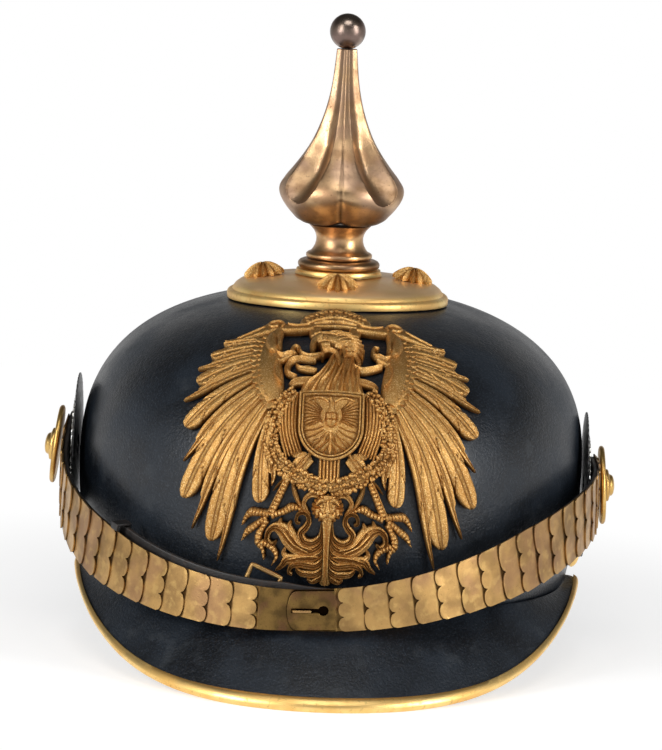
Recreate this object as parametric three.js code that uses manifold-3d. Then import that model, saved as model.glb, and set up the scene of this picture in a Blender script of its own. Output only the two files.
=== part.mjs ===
// Spiked parade helmet: a hollow leather skull with two visors, gilt fittings and a chin strap of scales.
// Millimetres, +Z up, the front faces -Y. Z = 0 is the surface that both visor edges rest on.
import * as THREE from 'three';
import { mergeVertices } from 'three/addons/utils/BufferGeometryUtils.js';
import Module from 'manifold-3d';

const wasm = await Module();
wasm.setup();

// ---- Driving dimensions -------------------------------------------------------------------------

const GAP = 0.3;

const SKULL = {
  halfWidth: 90,
  halfLength: 110,
  planPower: 2.2,
  rim: 23,
  equator: 62,
  domeHeight: 59,
  domePower: 2.5,
  sidePower: 2.6,
  rimTaper: 0.05,
  wall: 2.6,
};

const VISOR = {
  thickness: 2.2,
  rootLift: 4,
  rootGap: 0.4,
  bulge: 1.4,
  fullBulgeLength: 40,
  edgeHalfWidth: 90,
  edgeCentre: 10,
  edgeReach: 131,
  endAngle: 84,
  stations: 22,
};
const FRONT_EDGE = { rise: 24, power: 5, clearance: 0.75, inset: 0.8 };
const REAR_EDGE = { rise: 24, power: 4, clearance: 0.45, inset: -0.3 };

const PLATE = { radius: 39.5, seat: 119.8, foot: -1.05, wall: 1.2, sides: 28 };
const STAR = { rays: 12, outer: 8, inner: 5.6, height: 3, circle: 26.5, seat: 7.4, slope: 6.3 };
const SPIKE = { flutes: 4, ridge: 0.5, top: 88.8, ballRadius: 6.35, ballCentre: 95 };

// Chin strap, by angle round the helmet from the front; angles to the viewer's left are negative.
const STRAP = {
  lowest: 29.7,
  lowestAngle: -8,
  endAngle: 85,
  leftRise: 34.8,
  rightRise: 27.8,
  leftPower: 1.85,
  midWidth: 14,
  endWidth: 21.5,
  endOffset: 5.1,
  clearOffset: 6,
  endSharpness: 22,
  leather: 1.4,
  scale: 1.1,
  pitch: 8.6,
};
const FITTING = { rosetteRadius: 14, cockadeRadius: 26, ringRadius: 19, pleats: 14 };

// ---- Materials ----------------------------------------------------------------------------------

const finish = (color, roughness, metalness) => ({ color, roughness, metalness });
const FINISH = {
  blackLeather: finish(0x1b1d20, 0.45, 0),
  strapLeather: finish(0x17120f, 0.6, 0),
  gilt: finish(0xcda055, 0.5, 1),
  satinGold: finish(0xd2ac62, 0.35, 1),
  agedBrass: finish(0xb08e54, 0.42, 1),
  tonedBrass: finish(0x9a7350, 0.38, 1),
  tarnished: finish(0x7d736d, 0.35, 1),
  blackPaint: finish(0x111113, 0.4, 0.2),
  silver: finish(0xd9d9d6, 0.3, 1),
};

function part(name, geometry, look) {
  const material = new THREE.MeshStandardMaterial(FINISH[look]);
  const mesh = new THREE.Mesh(geometry, material);
  mesh.name = name;
  return mesh;
}

// ---- Small helpers ------------------------------------------------------------------------------

const rad = THREE.MathUtils.degToRad;
const lerp = THREE.MathUtils.lerp;
const vec = (x, y, z) => new THREE.Vector3(x, y, z);
const steps = (from, to, count) => Array.from({ length: count + 1 }, (_, i) => lerp(from, to, i / count));
const signedPower = (value, power) => Math.sign(value) * Math.abs(value) ** power;

// One closed body from rings of equal length. With closed = true the last ring joins the first.
function loft(rings, closed = false) {
  const size = rings[0].length;
  const positions = rings.flat().flatMap((p) => [p.x, p.y, p.z]);
  const triangles = [];
  const bands = closed ? rings.length : rings.length - 1;
  for (let i = 0; i < bands; i++) {
    const a = i * size;
    const b = ((i + 1) % rings.length) * size;
    for (let j = 0; j < size; j++) {
      const k = (j + 1) % size;
      triangles.push(a + j, b + j, b + k, a + j, b + k, a + k);
    }
  }
  if (!closed) {
    const last = (rings.length - 1) * size;
    capRing(rings[0], 0, false, triangles);
    capRing(rings.at(-1), last, true, triangles);
  }
  const geometry = new THREE.BufferGeometry();
  geometry.setAttribute('position', new THREE.Float32BufferAttribute(positions, 3));
  geometry.setIndex(triangles);
  return facingOut(geometry);
}

// Fills an end ring as a planar polygon, so that hollow sections are closed too.
function capRing(ring, start, flip, triangles) {
  const centre = ring.reduce((sum, p) => sum.add(p), vec(0, 0, 0)).divideScalar(ring.length);
  const normal = vec(0, 0, 0);
  ring.forEach((p, i) => {
    const next = ring[(i + 1) % ring.length];
    normal.add(p.clone().sub(centre).cross(next.clone().sub(centre)));
  });
  normal.normalize();
  const across = ring[1].clone().sub(ring[0]).normalize();
  const up = normal.clone().cross(across);
  const flat = ring.map((p) => {
    const arm = p.clone().sub(centre);
    return new THREE.Vector2(arm.dot(across), arm.dot(up));
  });
  for (const [a, b, c] of THREE.ShapeUtils.triangulateShape(flat, [])) {
    const turn = flat[b].clone().sub(flat[a]).cross(flat[c].clone().sub(flat[a]));
    const ordered = turn > 0 ? [a, b, c] : [a, c, b];
    if (flip) ordered.reverse();
    triangles.push(...ordered.map((i) => start + i));
  }
}

function volumeOf(geometry) {
  const p = geometry.getAttribute('position');
  const index = geometry.index.array;
  const [a, b, c] = [vec(0, 0, 0), vec(0, 0, 0), vec(0, 0, 0)];
  let volume = 0;
  for (let i = 0; i < index.length; i += 3) {
    a.fromBufferAttribute(p, index[i]);
    b.fromBufferAttribute(p, index[i + 1]);
    c.fromBufferAttribute(p, index[i + 2]);
    volume += a.dot(b.cross(c)) / 6;
  }
  return volume;
}

function facingOut(geometry) {
  if (volumeOf(geometry) < 0) {
    geometry.index.array.reverse();
  }
  return geometry;
}

function toSolid(geometry) {
  const plain = geometry.clone();
  plain.deleteAttribute('normal');
  plain.deleteAttribute('uv');
  const merged = facingOut(mergeVertices(plain, 1e-4));
  const vertProperties = new Float32Array(merged.getAttribute('position').array);
  const triVerts = new Uint32Array(merged.index.array);
  return new wasm.Manifold(new wasm.Mesh({ numProp: 3, vertProperties, triVerts }));
}

function toGeometry(solid) {
  const mesh = solid.getMesh();
  const geometry = new THREE.BufferGeometry();
  geometry.setAttribute('position', new THREE.BufferAttribute(new Float32Array(mesh.vertProperties), 3));
  geometry.setIndex(Array.from(mesh.triVerts));
  return geometry;
}

const joined = (geometries) => toGeometry(geometries.map(toSolid).reduce((sum, next) => sum.add(next)));

// Cuts away what lies below the resting surface, which leaves a true flat facet there.
function cutAtTable(geometry) {
  const block = new THREE.BoxGeometry(400, 400, 200).translate(0, 0, 100);
  return toGeometry(toSolid(geometry).intersect(toSolid(block)));
}

// ---- Skull surface ------------------------------------------------------------------------------

// Plan scale of the skull at a height: 1 at the equator, 0 at the top, slightly under 1 at the rim.
function planScale(z, domeHeight = SKULL.domeHeight) {
  if (z < SKULL.equator) {
    return 1 - SKULL.rimTaper * ((SKULL.equator - z) / (SKULL.equator - SKULL.rim)) ** 2;
  }
  const rise = Math.min((z - SKULL.equator) / domeHeight, 1);
  return (1 - rise ** SKULL.domePower) ** (1 / SKULL.sidePower);
}

// Point at an angle from the front, a height, and a distance outside the skull's plan.
function roundSkull(degrees, z, offset = 0) {
  const scale = planScale(z);
  const power = 2 / SKULL.planPower;
  const x = (SKULL.halfWidth * scale + offset) * signedPower(Math.sin(rad(degrees)), power);
  const y = -(SKULL.halfLength * scale + offset) * signedPower(Math.cos(rad(degrees)), power);
  return vec(x, y, z);
}

// Negative inside the skull, positive outside.
function skullField(x, y, z) {
  const scale = planScale(z);
  if (scale < 1e-6) {
    return 1e3;
  }
  const side = (Math.abs(x) / (SKULL.halfWidth * scale)) ** SKULL.planPower;
  const length = (Math.abs(y) / (SKULL.halfLength * scale)) ** SKULL.planPower;
  return side + length - 1;
}

function skullNormal({ x, y, z }) {
  const d = 0.05;
  return vec(
    skullField(x + d, y, z) - skullField(x - d, y, z),
    skullField(x, y + d, z) - skullField(x, y - d, z),
    skullField(x, y, z + d) - skullField(x, y, z - d),
  ).normalize();
}

// First skull point met when going along a direction from inside the skull.
function skullHit(from, direction, reach = 60) {
  let [near, far] = [0, reach];
  for (let i = 0; i < 40; i++) {
    const middle = (near + far) / 2;
    const p = from.clone().addScaledVector(direction, middle);
    if (skullField(p.x, p.y, p.z) < 0) near = middle;
    else far = middle;
  }
  return from.clone().addScaledVector(direction, near);
}

function skullHeight(x, y) {
  return skullHit(vec(x, y, SKULL.equator), vec(0, 0, 1), SKULL.domeHeight + 5).z;
}

// ---- Skull --------------------------------------------------------------------------------------

function skullShell() {
  const around = 36;
  const ring = (z, inset, scale) => steps(0, 360, around).slice(0, -1).map((degrees) => {
    const power = 2 / SKULL.planPower;
    const x = (SKULL.halfWidth - inset) * scale * signedPower(Math.sin(rad(degrees)), power);
    const y = -(SKULL.halfLength - inset) * scale * signedPower(Math.cos(rad(degrees)), power);
    return vec(x, y, z);
  });
  const profile = (inset, domeRows) => {
    const height = SKULL.domeHeight - inset;
    const rows = [SKULL.rim, 42].map((z) => [z, planScale(z)]);
    for (const angle of steps(0, 85, domeRows)) {
      const z = SKULL.equator + height * Math.sin(rad(angle));
      rows.push([z, planScale(z, height)]);
    }
    return rows.map(([z, scale]) => ring(z, inset, scale));
  };
  const outer = profile(0, 7);
  const inner = profile(SKULL.wall, 5);
  const rings = [...inner.reverse(), ...outer];
  const positions = rings.flat().flatMap((p) => [p.x, p.y, p.z]);
  const triangles = [];
  for (let i = 0; i < rings.length - 1; i++) {
    for (let j = 0; j < around; j++) {
      const k = (j + 1) % around;
      const [a, b] = [i * around, (i + 1) * around];
      triangles.push(a + j, b + j, b + k, a + j, b + k, a + k);
    }
  }
  const crowns = [
    { z: SKULL.equator + SKULL.domeHeight - SKULL.wall, start: 0, flip: false },
    { z: SKULL.equator + SKULL.domeHeight, start: (rings.length - 1) * around, flip: true },
  ];
  for (const { z, start, flip } of crowns) {
    const pole = positions.length / 3;
    positions.push(0, 0, z);
    for (let j = 0; j < around; j++) {
      const [a, b] = [start + j, start + ((j + 1) % around)];
      triangles.push(...(flip ? [pole, b, a] : [pole, a, b]));
    }
  }
  const geometry = new THREE.BufferGeometry();
  geometry.setAttribute('position', new THREE.Float32BufferAttribute(positions, 3));
  geometry.setIndex(triangles);
  return facingOut(geometry);
}

// ---- Visors -------------------------------------------------------------------------------------

const rootHeight = (degrees) => SKULL.rim + 0.6 + VISOR.rootLift * Math.cos(rad(degrees)) ** 2;

function visorEdge(degrees, edge) {
  const x = VISOR.edgeHalfWidth * Math.sin(rad(degrees));
  const y = -VISOR.edgeCentre - VISOR.edgeReach * Math.cos(rad(degrees));
  const z = edge.clearance + edge.rise * Math.abs(Math.sin(rad(degrees))) ** edge.power;
  return vec(x, y, z);
}

// Middle surface of a visor from its root on the skull (t = 0) to its edge (t = 1).
function visorMiddle(degrees, t, edge) {
  const root = roundSkull(degrees, rootHeight(degrees), VISOR.rootGap);
  const tip = visorEdge(degrees, edge);
  const out = tip.clone().sub(root);
  const reach = 1 - edge.inset / out.length();
  const bulge = VISOR.bulge * Math.min(out.length() / VISOR.fullBulgeLength, 1);
  return root.addScaledVector(out, t * reach).add(vec(0, 0, bulge * Math.sin(Math.PI * t)));
}

function visorFrame(degrees, t, edge) {
  const d = 0.1;
  const from = visorMiddle(degrees, Math.max(t - d, 0), edge);
  const to = visorMiddle(degrees, Math.min(t + d, 1), edge);
  const out = to.sub(from).normalize();
  const before = visorMiddle(degrees - 0.5, t, edge);
  const after = visorMiddle(degrees + 0.5, t, edge);
  const along = after.sub(before).normalize();
  const top = out.clone().cross(along).normalize();
  if (top.z < 0) top.negate();
  return { out, top };
}

function visorShell(edge) {
  const rows = [0, 0.4, 0.82, 1];
  const half = VISOR.thickness / 2;
  const rings = steps(-VISOR.endAngle, VISOR.endAngle, VISOR.stations).map((degrees) => {
    const side = (sign) => rows.map((t) => {
      const { top } = visorFrame(degrees, t, edge);
      if (t === 0) top.set(0, 0, 1);
      return visorMiddle(degrees, t, edge).addScaledVector(top, sign * half);
    });
    return [...side(1), ...side(-1).reverse()];
  });
  return loft(rings);
}

// Folded metal channel that wraps the front visor's edge.
const TRIM_SECTION = [
  { out: -4, top: 1.4 },
  { out: -0.5, top: 1.4 },
  { out: -0.5, top: -1.4 },
  { out: -4, top: -1.4 },
  { out: -4, top: -1.9 },
  { out: -0.4, top: -1.9 },
  { out: 0.5, top: -1 },
  { out: 0.5, top: 1 },
  { out: -0.4, top: 1.9 },
  { out: -4, top: 1.9 },
];

function visorTrim() {
  const rings = steps(-VISOR.endAngle, VISOR.endAngle, VISOR.stations).map((degrees) => {
    const { out, top } = visorFrame(degrees, 1, FRONT_EDGE);
    const edge = visorMiddle(degrees, 1, FRONT_EDGE).addScaledVector(out, FRONT_EDGE.inset);
    return TRIM_SECTION.map((p) => edge.clone().addScaledVector(out, p.out).addScaledVector(top, p.top));
  });
  return cutAtTable(loft(rings));
}

// Metal strip down the back of the skull, from the base plate on to the rear visor.
const SPINE = { halfWidth: 5.5, thickness: 1.3, lift: 0.5, topAngle: 62, visorReach: [0.3, 0.6, 0.88] };

function rearSpine() {
  const spots = steps(SPINE.topAngle, 0, 9).map((angle) => {
    const p = roundSkull(0, SKULL.equator + SKULL.domeHeight * Math.sin(rad(angle)));
    return { p, normal: skullNormal(p) };
  });
  for (const z of [44, 31]) {
    const p = roundSkull(0, z);
    spots.push({ p, normal: skullNormal(p) });
  }
  for (const t of SPINE.visorReach) {
    const { top } = visorFrame(0, t, REAR_EDGE);
    const p = visorMiddle(0, t, REAR_EDGE).addScaledVector(top, VISOR.thickness / 2);
    spots.push({ p, normal: top });
  }
  const rings = spots.map(({ p, normal }) => {
    const corner = (share, lift) => vec(share * SPINE.halfWidth, p.y, p.z).addScaledVector(normal, lift);
    const { lift, thickness } = SPINE;
    return [corner(-1, lift), corner(1, lift), corner(0.8, lift + thickness), corner(-0.8, lift + thickness)];
  });
  return loft(rings).rotateZ(Math.PI);
}

// ---- Base plate and spike -----------------------------------------------------------------------

// Radius and height above the seat of the plate's upper surface.
const PLATE_PROFILE = [
  { radius: 39.5, z: 1.5 },
  { radius: 38.4, z: 1.9 },
  { radius: 36.6, z: 3.8 },
  { radius: 33.4, z: 5.7 },
  { radius: 27, z: 6.9 },
  { radius: 15, z: 7.9 },
  { radius: 0, z: 8.1 },
];
const PLATE_UNDERSIDE = [
  { radius: 0, z: 7.3 },
  { radius: 15, z: 7.1 },
  { radius: 32.2, z: 4.9 },
  { radius: 37.2, z: 1.1 },
];
// Outside this radius the plate follows the skull down at its sides.
const PLATE_BEND = 30;

function basePlate() {
  const innerFoot = { radius: PLATE.radius - PLATE.wall, z: PLATE.foot };
  const outerFoot = { radius: PLATE.radius, z: PLATE.foot };
  const geometry = turned([...PLATE_UNDERSIDE, innerFoot, outerFoot, ...PLATE_PROFILE], PLATE.sides);
  const p = geometry.getAttribute('position');
  for (let i = 0; i < p.count; i++) {
    const [x, y] = [p.getX(i), p.getY(i)];
    const radius = Math.hypot(x, y);
    const sag = radius > PLATE_BEND ? skullHeight(x, y) - skullHeight(radius, 0) : 0;
    const share = THREE.MathUtils.smoothstep(radius, PLATE_BEND, PLATE.radius);
    p.setZ(i, p.getZ(i) + PLATE.seat + sag * share);
  }
  return geometry;
}

function welded(geometry) {
  geometry.deleteAttribute('normal');
  geometry.deleteAttribute('uv');
  return facingOut(mergeVertices(geometry, 1e-3));
}

function turned(rows, segments, base = 0) {
  const points = rows.map(({ radius, z }) => new THREE.Vector2(radius, z + base));
  return welded(new THREE.LatheGeometry(points, segments).rotateX(Math.PI / 2));
}

function starStud({ name, degrees: heading }) {
  const count = STAR.rays * 2;
  const rim = (lift, scale) => steps(0, 360, count).slice(0, -1).map((degrees, i) => {
    const radius = (i % 2 ? STAR.inner : STAR.outer) * scale;
    return vec(radius * Math.cos(rad(degrees)), radius * Math.sin(rad(degrees)), lift);
  });
  const geometry = loft([rim(0, 1), rim(0.7, 1), rim(STAR.height, 0.25)]);
  const placed = part(`star_stud_${name}`, geometry, 'gilt');
  placed.rotation.y = rad(STAR.slope);
  placed.position.set(STAR.circle, 0, PLATE.seat + STAR.seat);
  const turn = new THREE.Group();
  turn.rotation.z = rad(heading);
  turn.add(placed);
  return turn;
}

// Largest radius up the spike, with how deep its flutes and the creases between its lobes are cut.
const SPIKE_PROFILE = [
  { z: 26.3, radius: 12.6, flute: 0, crease: 0.03 },
  { z: 29, radius: 17, flute: 0, crease: 0.05 },
  { z: 33.6, radius: 21.1, flute: 0, crease: 0.05 },
  { z: 37.6, radius: 22.3, flute: 0.06, crease: 0.03 },
  { z: 42, radius: 20.8, flute: 0.22, crease: 0.01 },
  { z: 46.6, radius: 17.6, flute: 0.27, crease: 0 },
  { z: 52, radius: 13.8, flute: 0.28, crease: 0 },
  { z: 58, radius: 10.2, flute: 0.27, crease: 0 },
  { z: 65, radius: 7.3, flute: 0.24, crease: 0 },
  { z: 73, radius: 5.3, flute: 0.18, crease: 0 },
  { z: 81, radius: 4.1, flute: 0.12, crease: 0 },
  { z: SPIKE.top, radius: 3.6, flute: 0.04, crease: 0 },
];

function flutedSpike() {
  const around = SPIKE.flutes * 6;
  const ring = ({ z, radius, flute, crease }) => steps(0, 360, around).slice(0, -1).map((degrees) => {
    const across = Math.abs(Math.sin(rad((degrees * SPIKE.flutes) / 2)));
    const inFlute = Math.max(across - SPIKE.ridge, 0) / (1 - SPIKE.ridge);
    const cut = radius * (1 - flute * inFlute - crease * (1 - across));
    return vec(cut * Math.cos(rad(degrees)), cut * Math.sin(rad(degrees)), z + PLATE.seat);
  });
  return loft(SPIKE_PROFILE.map(ring));
}

const COLLAR_ROWS = [
  { radius: 0, z: 8.4 },
  { radius: 15, z: 8.4 },
  { radius: 15, z: 9.6 },
  { radius: 13.2, z: 10 },
  { radius: 14.65, z: 10.9 },
  { radius: 14.65, z: 12.9 },
  { radius: 13, z: 13.9 },
  { radius: 0, z: 13.9 },
];
const NECK_ROWS = [
  { radius: 0, z: 14.2 },
  { radius: 11.5, z: 14.2 },
  { radius: 11.5, z: 16.4 },
  { radius: 9.4, z: 17.8 },
  { radius: 8.45, z: 21 },
  { radius: 9.4, z: 24 },
  { radius: 11.6, z: 26 },
  { radius: 0, z: 26 },
];

function spikeBall() {
  const radius = SPIKE.ballRadius;
  const seat = SPIKE.top + GAP - SPIKE.ballCentre;
  const seatAngle = THREE.MathUtils.radToDeg(Math.asin(seat / radius));
  const rows = [{ radius: 0, z: seat }];
  for (const degrees of steps(seatAngle, 90, 7).slice(0, -1)) {
    rows.push({ radius: radius * Math.cos(rad(degrees)), z: radius * Math.sin(rad(degrees)) });
  }
  rows.push({ radius: 0, z: radius });
  return turned(rows, 14, PLATE.seat + SPIKE.ballCentre);
}

// ---- Eagle plate --------------------------------------------------------------------------------

// The plate is drawn in its own coordinates: u to the viewer's right and w up the plate from the tail's tip.
// Its mean plane leans back over the dome, and each point goes along that plane's normal on to the skull.
// The drawing shows the plate from the front, a little above level, so its mean lift goes along that view.
const EAGLE = { lean: 37, originY: -107, originZ: 37, seenFrom: 8.5, meanLift: 2.4 };

function onSkull(u, w, lift) {
  const up = vec(0, Math.sin(rad(EAGLE.lean)), Math.cos(rad(EAGLE.lean)));
  const out = vec(0, -Math.cos(rad(EAGLE.lean)), Math.sin(rad(EAGLE.lean)));
  const start = vec(u, EAGLE.originY, EAGLE.originZ).addScaledVector(up, w).addScaledVector(out, -20);
  const p = skullHit(start, out);
  const normal = skullNormal(p);
  const view = vec(0, -Math.cos(rad(EAGLE.seenFrom)), Math.sin(rad(EAGLE.seenFrom)));
  const { meanLift } = EAGLE;
  return p.clone().addScaledVector(view, meanLift / normal.dot(view)).addScaledVector(normal, lift - meanLift);
}

// One raised stroke of relief with a ridge along its middle. `half` is its half width, `crest` its height.
function stroke({ points, base = 0.75, crest = 2, rings = points.length, wide = false }) {
  const path = points.map(({ u, w, half }) => vec(u, w, half));
  const curve = new THREE.CatmullRomCurve3(path, false, 'centripetal');
  const sections = steps(0, 1, rings - 1).map((t) => {
    const p = curve.getPoint(t);
    const tangent = curve.getTangent(t).setZ(0).normalize();
    const half = Math.max(p.z, 0.3);
    const spot = (across, lift) => onSkull(p.x - tangent.y * across, p.y + tangent.x * across, lift);
    const middle = wide ? [spot(0, base)] : [];
    return [spot(-half, base), ...middle, spot(half, base), spot(0, base + crest)];
  });
  return loft(sections);
}

// Wing feathers of one side, root to tip; blades are broad and round-ended, quills narrow and pointed.
const FEATHERS = [
  { kind: 'blade', rootU: 20, rootW: 84, tipU: 37, tipW: 84.5, half: 1.7, bow: 0 },
  { kind: 'blade', rootU: 20.6, rootW: 81, tipU: 41.4, tipW: 76.6, half: 2.5, bow: 0.4 },
  { kind: 'quill', rootU: 21, rootW: 78, tipU: 46, tipW: 71.3, half: 1.6, bow: 0.6 },
  { kind: 'blade', rootU: 21.3, rootW: 74.5, tipU: 46, tipW: 64.9, half: 3, bow: 0.9 },
  { kind: 'quill', rootU: 21.6, rootW: 71, tipU: 50, tipW: 57.8, half: 1.6, bow: 1.1 },
  { kind: 'blade', rootU: 21.9, rootW: 67, tipU: 49, tipW: 47.9, half: 3.4, bow: 1.4 },
  { kind: 'quill', rootU: 22.2, rootW: 63, tipU: 48.8, tipW: 36.4, half: 1.7, bow: 1.7 },
  { kind: 'blade', rootU: 22.4, rootW: 59.5, tipU: 48.4, tipW: 26, half: 3.8, bow: 2 },
  { kind: 'quill', rootU: 22.3, rootW: 56, tipU: 45, tipW: 16.8, half: 1.7, bow: 2.2 },
  { kind: 'blade', rootU: 22, rootW: 53, tipU: 38.9, tipW: 12.6, half: 3.8, bow: 2.2 },
  { kind: 'quill', rootU: 21.4, rootW: 50, tipU: 35.6, tipW: 6.6, half: 1.7, bow: 1.8 },
  { kind: 'blade', rootU: 20.4, rootW: 47, tipU: 22.4, tipW: 20.6, half: 2.7, bow: 1 },
  { kind: 'quill', rootU: 19.2, rootW: 45, tipU: 17.9, tipW: 26, half: 1.9, bow: 0.6 },
];
const FEATHER_WIDTH = { blade: [0.3, 0.7, 1, 0.62], quill: [0.4, 0.8, 1, 0.1] };
const FEATHER_ROWS = [0, 0.36, 0.72, 1];
const FEATHER_NOTCH = 0.76;
const WING_BASE = 1.35;
const [ROOT_LIFT, RIDGE_LIFT, EDGE_LIFT, NOTCH_LIFT] = [3, 2.3, 1.9, 1.1];

// Place on a feather at a row, a share of its length and a side (-1, 0 or 1) of its width.
function onFeather({ kind, rootU, rootW, tipU, tipW, half, bow }, row, reach, side) {
  const length = Math.hypot(tipU - rootU, tipW - rootW);
  const across = [-(tipW - rootW) / length, (tipU - rootU) / length];
  const t = FEATHER_ROWS[row] * reach;
  const shift = bow * Math.sin(Math.PI * t) + side * half * FEATHER_WIDTH[kind][row];
  return [lerp(rootU, tipU, t) + across[0] * shift, lerp(rootW, tipW, t) + across[1] * shift];
}

// A wing as one fan: lines from root to tip along every feather's ridge and edges, and down every notch.
function wingFan(mirror) {
  const lines = [];
  const rows = FEATHER_ROWS.map((_, row) => row);
  FEATHERS.forEach((item, i) => {
    const blade = item.kind === 'blade';
    if (i > 0) {
      const before = FEATHERS[i - 1];
      lines.push(rows.map((row) => {
        const a = onFeather(before, row, FEATHER_NOTCH, -1);
        const b = onFeather(item, row, FEATHER_NOTCH, 1);
        return [(a[0] + b[0]) / 2, (a[1] + b[1]) / 2, row === 0 ? ROOT_LIFT : NOTCH_LIFT];
      }));
    }
    const sides = blade ? [1, 0, -1] : [0];
    for (const side of sides) {
      const reach = side === 0 ? 1 : 0.95;
      const lift = side === 0 ? RIDGE_LIFT : EDGE_LIFT;
      lines.push(rows.map((row) => [...onFeather(item, row, reach, side), row === 0 ? ROOT_LIFT : lift]));
    }
  });
  return loft(lines.map((line) => {
    const under = line.map(([u, w]) => onSkull(mirror * u, w, WING_BASE));
    const over = line.map(([u, w, lift]) => onSkull(mirror * u, w, WING_BASE + lift));
    return [...under, ...over.reverse()];
  }));
}

// Strokes that are the same on both sides, named by what they draw.
const MIRRORED = {
  wingArm: {
    crest: 2.8,
    points: [
      { u: 7, w: 92.5, half: 2.6 },
      { u: 14, w: 89.5, half: 2.8 },
      { u: 20.5, w: 90.5, half: 4 },
      { u: 28, w: 86.6, half: 2.8 },
      { u: 37, w: 84.6, half: 0.7 },
    ],
  },
  wingKnob: {
    crest: 3.2,
    points: [
      { u: 14.6, w: 83.6, half: 1.8 },
      { u: 16, w: 76, half: 1.4 },
    ],
  },
  upperTie: {
    points: [
      { u: 7, w: 76.4, half: 1.5 },
      { u: 15.6, w: 78.6, half: 1.1 },
    ],
  },
  lowerTie: {
    points: [
      { u: 6, w: 67.6, half: 1.8 },
      { u: 16, w: 70.6, half: 1.4 },
    ],
  },
  collar: {
    crest: 3.4,
    rings: 7,
    points: [
      { u: 13, w: 57.4, half: 2.3 },
      { u: 18.6, w: 48.6, half: 2.6 },
      { u: 20, w: 38, half: 2.6 },
      { u: 15, w: 29.4, half: 2.5 },
      { u: 7.5, w: 25.7, half: 2.4 },
      { u: 0, w: 24.4, half: 2.4 },
    ],
  },
  thigh: {
    crest: 2.4,
    points: [
      { u: 7, w: 34, half: 2.8 },
      { u: 12.6, w: 26.8, half: 1.9 },
    ],
  },
  leg: {
    crest: 2.6,
    points: [
      { u: 12.6, w: 27, half: 1.4 },
      { u: 19.6, w: 16.8, half: 1.2 },
    ],
  },
  toeOuter: {
    points: [
      { u: 19.4, w: 17, half: 1.1 },
      { u: 25.4, w: 17.9, half: 1.1 },
      { u: 28.2, w: 15.8, half: 0.4 },
    ],
  },
  toeInner: {
    points: [
      { u: 19.4, w: 16.9, half: 1.1 },
      { u: 12.6, w: 17.8, half: 1.1 },
      { u: 7.9, w: 17.7, half: 0.6 },
    ],
  },
  toeRear: {
    rings: 4,
    points: [
      { u: 19.6, w: 16, half: 1.1 },
      { u: 23, w: 10.8, half: 1.1 },
      { u: 19.8, w: 5, half: 0.4 },
    ],
  },
  scroll1: {
    points: [
      { u: 1, w: 14.4, half: 1 },
      { u: 3, w: 10, half: 1.2 },
      { u: 7.6, w: 9.2, half: 1.1 },
      { u: 8, w: 12.8, half: 1 },
      { u: 9.4, w: 16.6, half: 0.6 },
    ],
  },
  scroll2: {
    points: [
      { u: 1, w: 9.8, half: 1 },
      { u: 5, w: 7, half: 1.4 },
      { u: 10, w: 7.4, half: 2.1 },
      { u: 14, w: 12, half: 2.2 },
      { u: 18.6, w: 12.6, half: 1.2 },
      { u: 16.4, w: 9.4, half: 0.7 },
    ],
  },
  scroll3: {
    points: [
      { u: 1, w: 7.2, half: 0.9 },
      { u: 5, w: 4.7, half: 1.2 },
      { u: 10.4, w: 4.5, half: 1.6 },
      { u: 15.6, w: 1.8, half: 0.4 },
    ],
  },
};

const CENTRAL = {
  crownArch: {
    crest: 3.4,
    rings: 7,
    points: [
      { u: -10.8, w: 93.4, half: 1.9 },
      { u: -10, w: 98.4, half: 1.9 },
      { u: 0, w: 101.4, half: 2.2 },
      { u: 10, w: 98.4, half: 1.9 },
      { u: 10.8, w: 93.4, half: 1.9 },
    ],
  },
  crownBand: {
    crest: 2.8,
    points: [
      { u: -11, w: 94, half: 1.8 },
      { u: 0, w: 95.4, half: 1.8 },
      { u: 11, w: 94, half: 1.8 },
    ],
  },
  crownBack: {
    crest: 1,
    points: [
      { u: -7.6, w: 97.2, half: 2 },
      { u: 7.6, w: 97.2, half: 2 },
    ],
  },
  headTieLeft: {
    points: [
      { u: -7, w: 92.6, half: 1.4 },
      { u: -5.2, w: 87, half: 1.6 },
    ],
  },
  headTieRight: {
    points: [
      { u: 7, w: 92.6, half: 1.4 },
      { u: 5.6, w: 87, half: 1.8 },
    ],
  },
  head: {
    crest: 3.4,
    points: [
      { u: -5.6, w: 84.6, half: 3 },
      { u: 4, w: 83, half: 5 },
    ],
  },
  neck: {
    base: 1.1,
    crest: 2.7,
    rings: 5,
    wide: true,
    points: [
      { u: 3, w: 84, half: 5.6 },
      { u: 3.6, w: 72, half: 7.6 },
      { u: 1.4, w: 58, half: 11 },
    ],
  },
  beak: {
    crest: 2.6,
    points: [
      { u: -5, w: 83.4, half: 1.9 },
      { u: -8, w: 81.4, half: 1.5 },
      { u: -8.6, w: 78, half: 0.4 },
    ],
  },
  tongue: {
    points: [
      { u: -2, w: 77.6, half: 1.4 },
      { u: -8, w: 75.2, half: 0.8 },
      { u: -16, w: 78.8, half: 0.9 },
    ],
  },
  body: {
    crest: 1.3,
    wide: true,
    points: [
      { u: 0, w: 62, half: 12 },
      { u: 0, w: 47, half: 16 },
      { u: 0, w: 32, half: 10 },
    ],
  },
  tailRoot: {
    points: [
      { u: 0, w: 34, half: 3 },
      { u: 0, w: 24.6, half: 2.7 },
    ],
  },
  mask: {
    crest: 3.6,
    points: [
      { u: 0, w: 24.2, half: 3.4 },
      { u: 0, w: 19.6, half: 4.6 },
      { u: 0, w: 15, half: 2.2 },
    ],
  },
  stem: {
    crest: 2.6,
    points: [
      { u: 0, w: 16.4, half: 1.7 },
      { u: 0, w: 4, half: 1.5 },
      { u: 0, w: -0.8, half: 2.4 },
    ],
  },
};

// Shield: straight sides to the shoulder, then a round bottom.
const SHIELD = { halfWidth: 10.9, top: 56.6, shoulder: 43.4, border: 1.1, base: 2.1, field: 3.5, rim: 4.2 };

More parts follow.
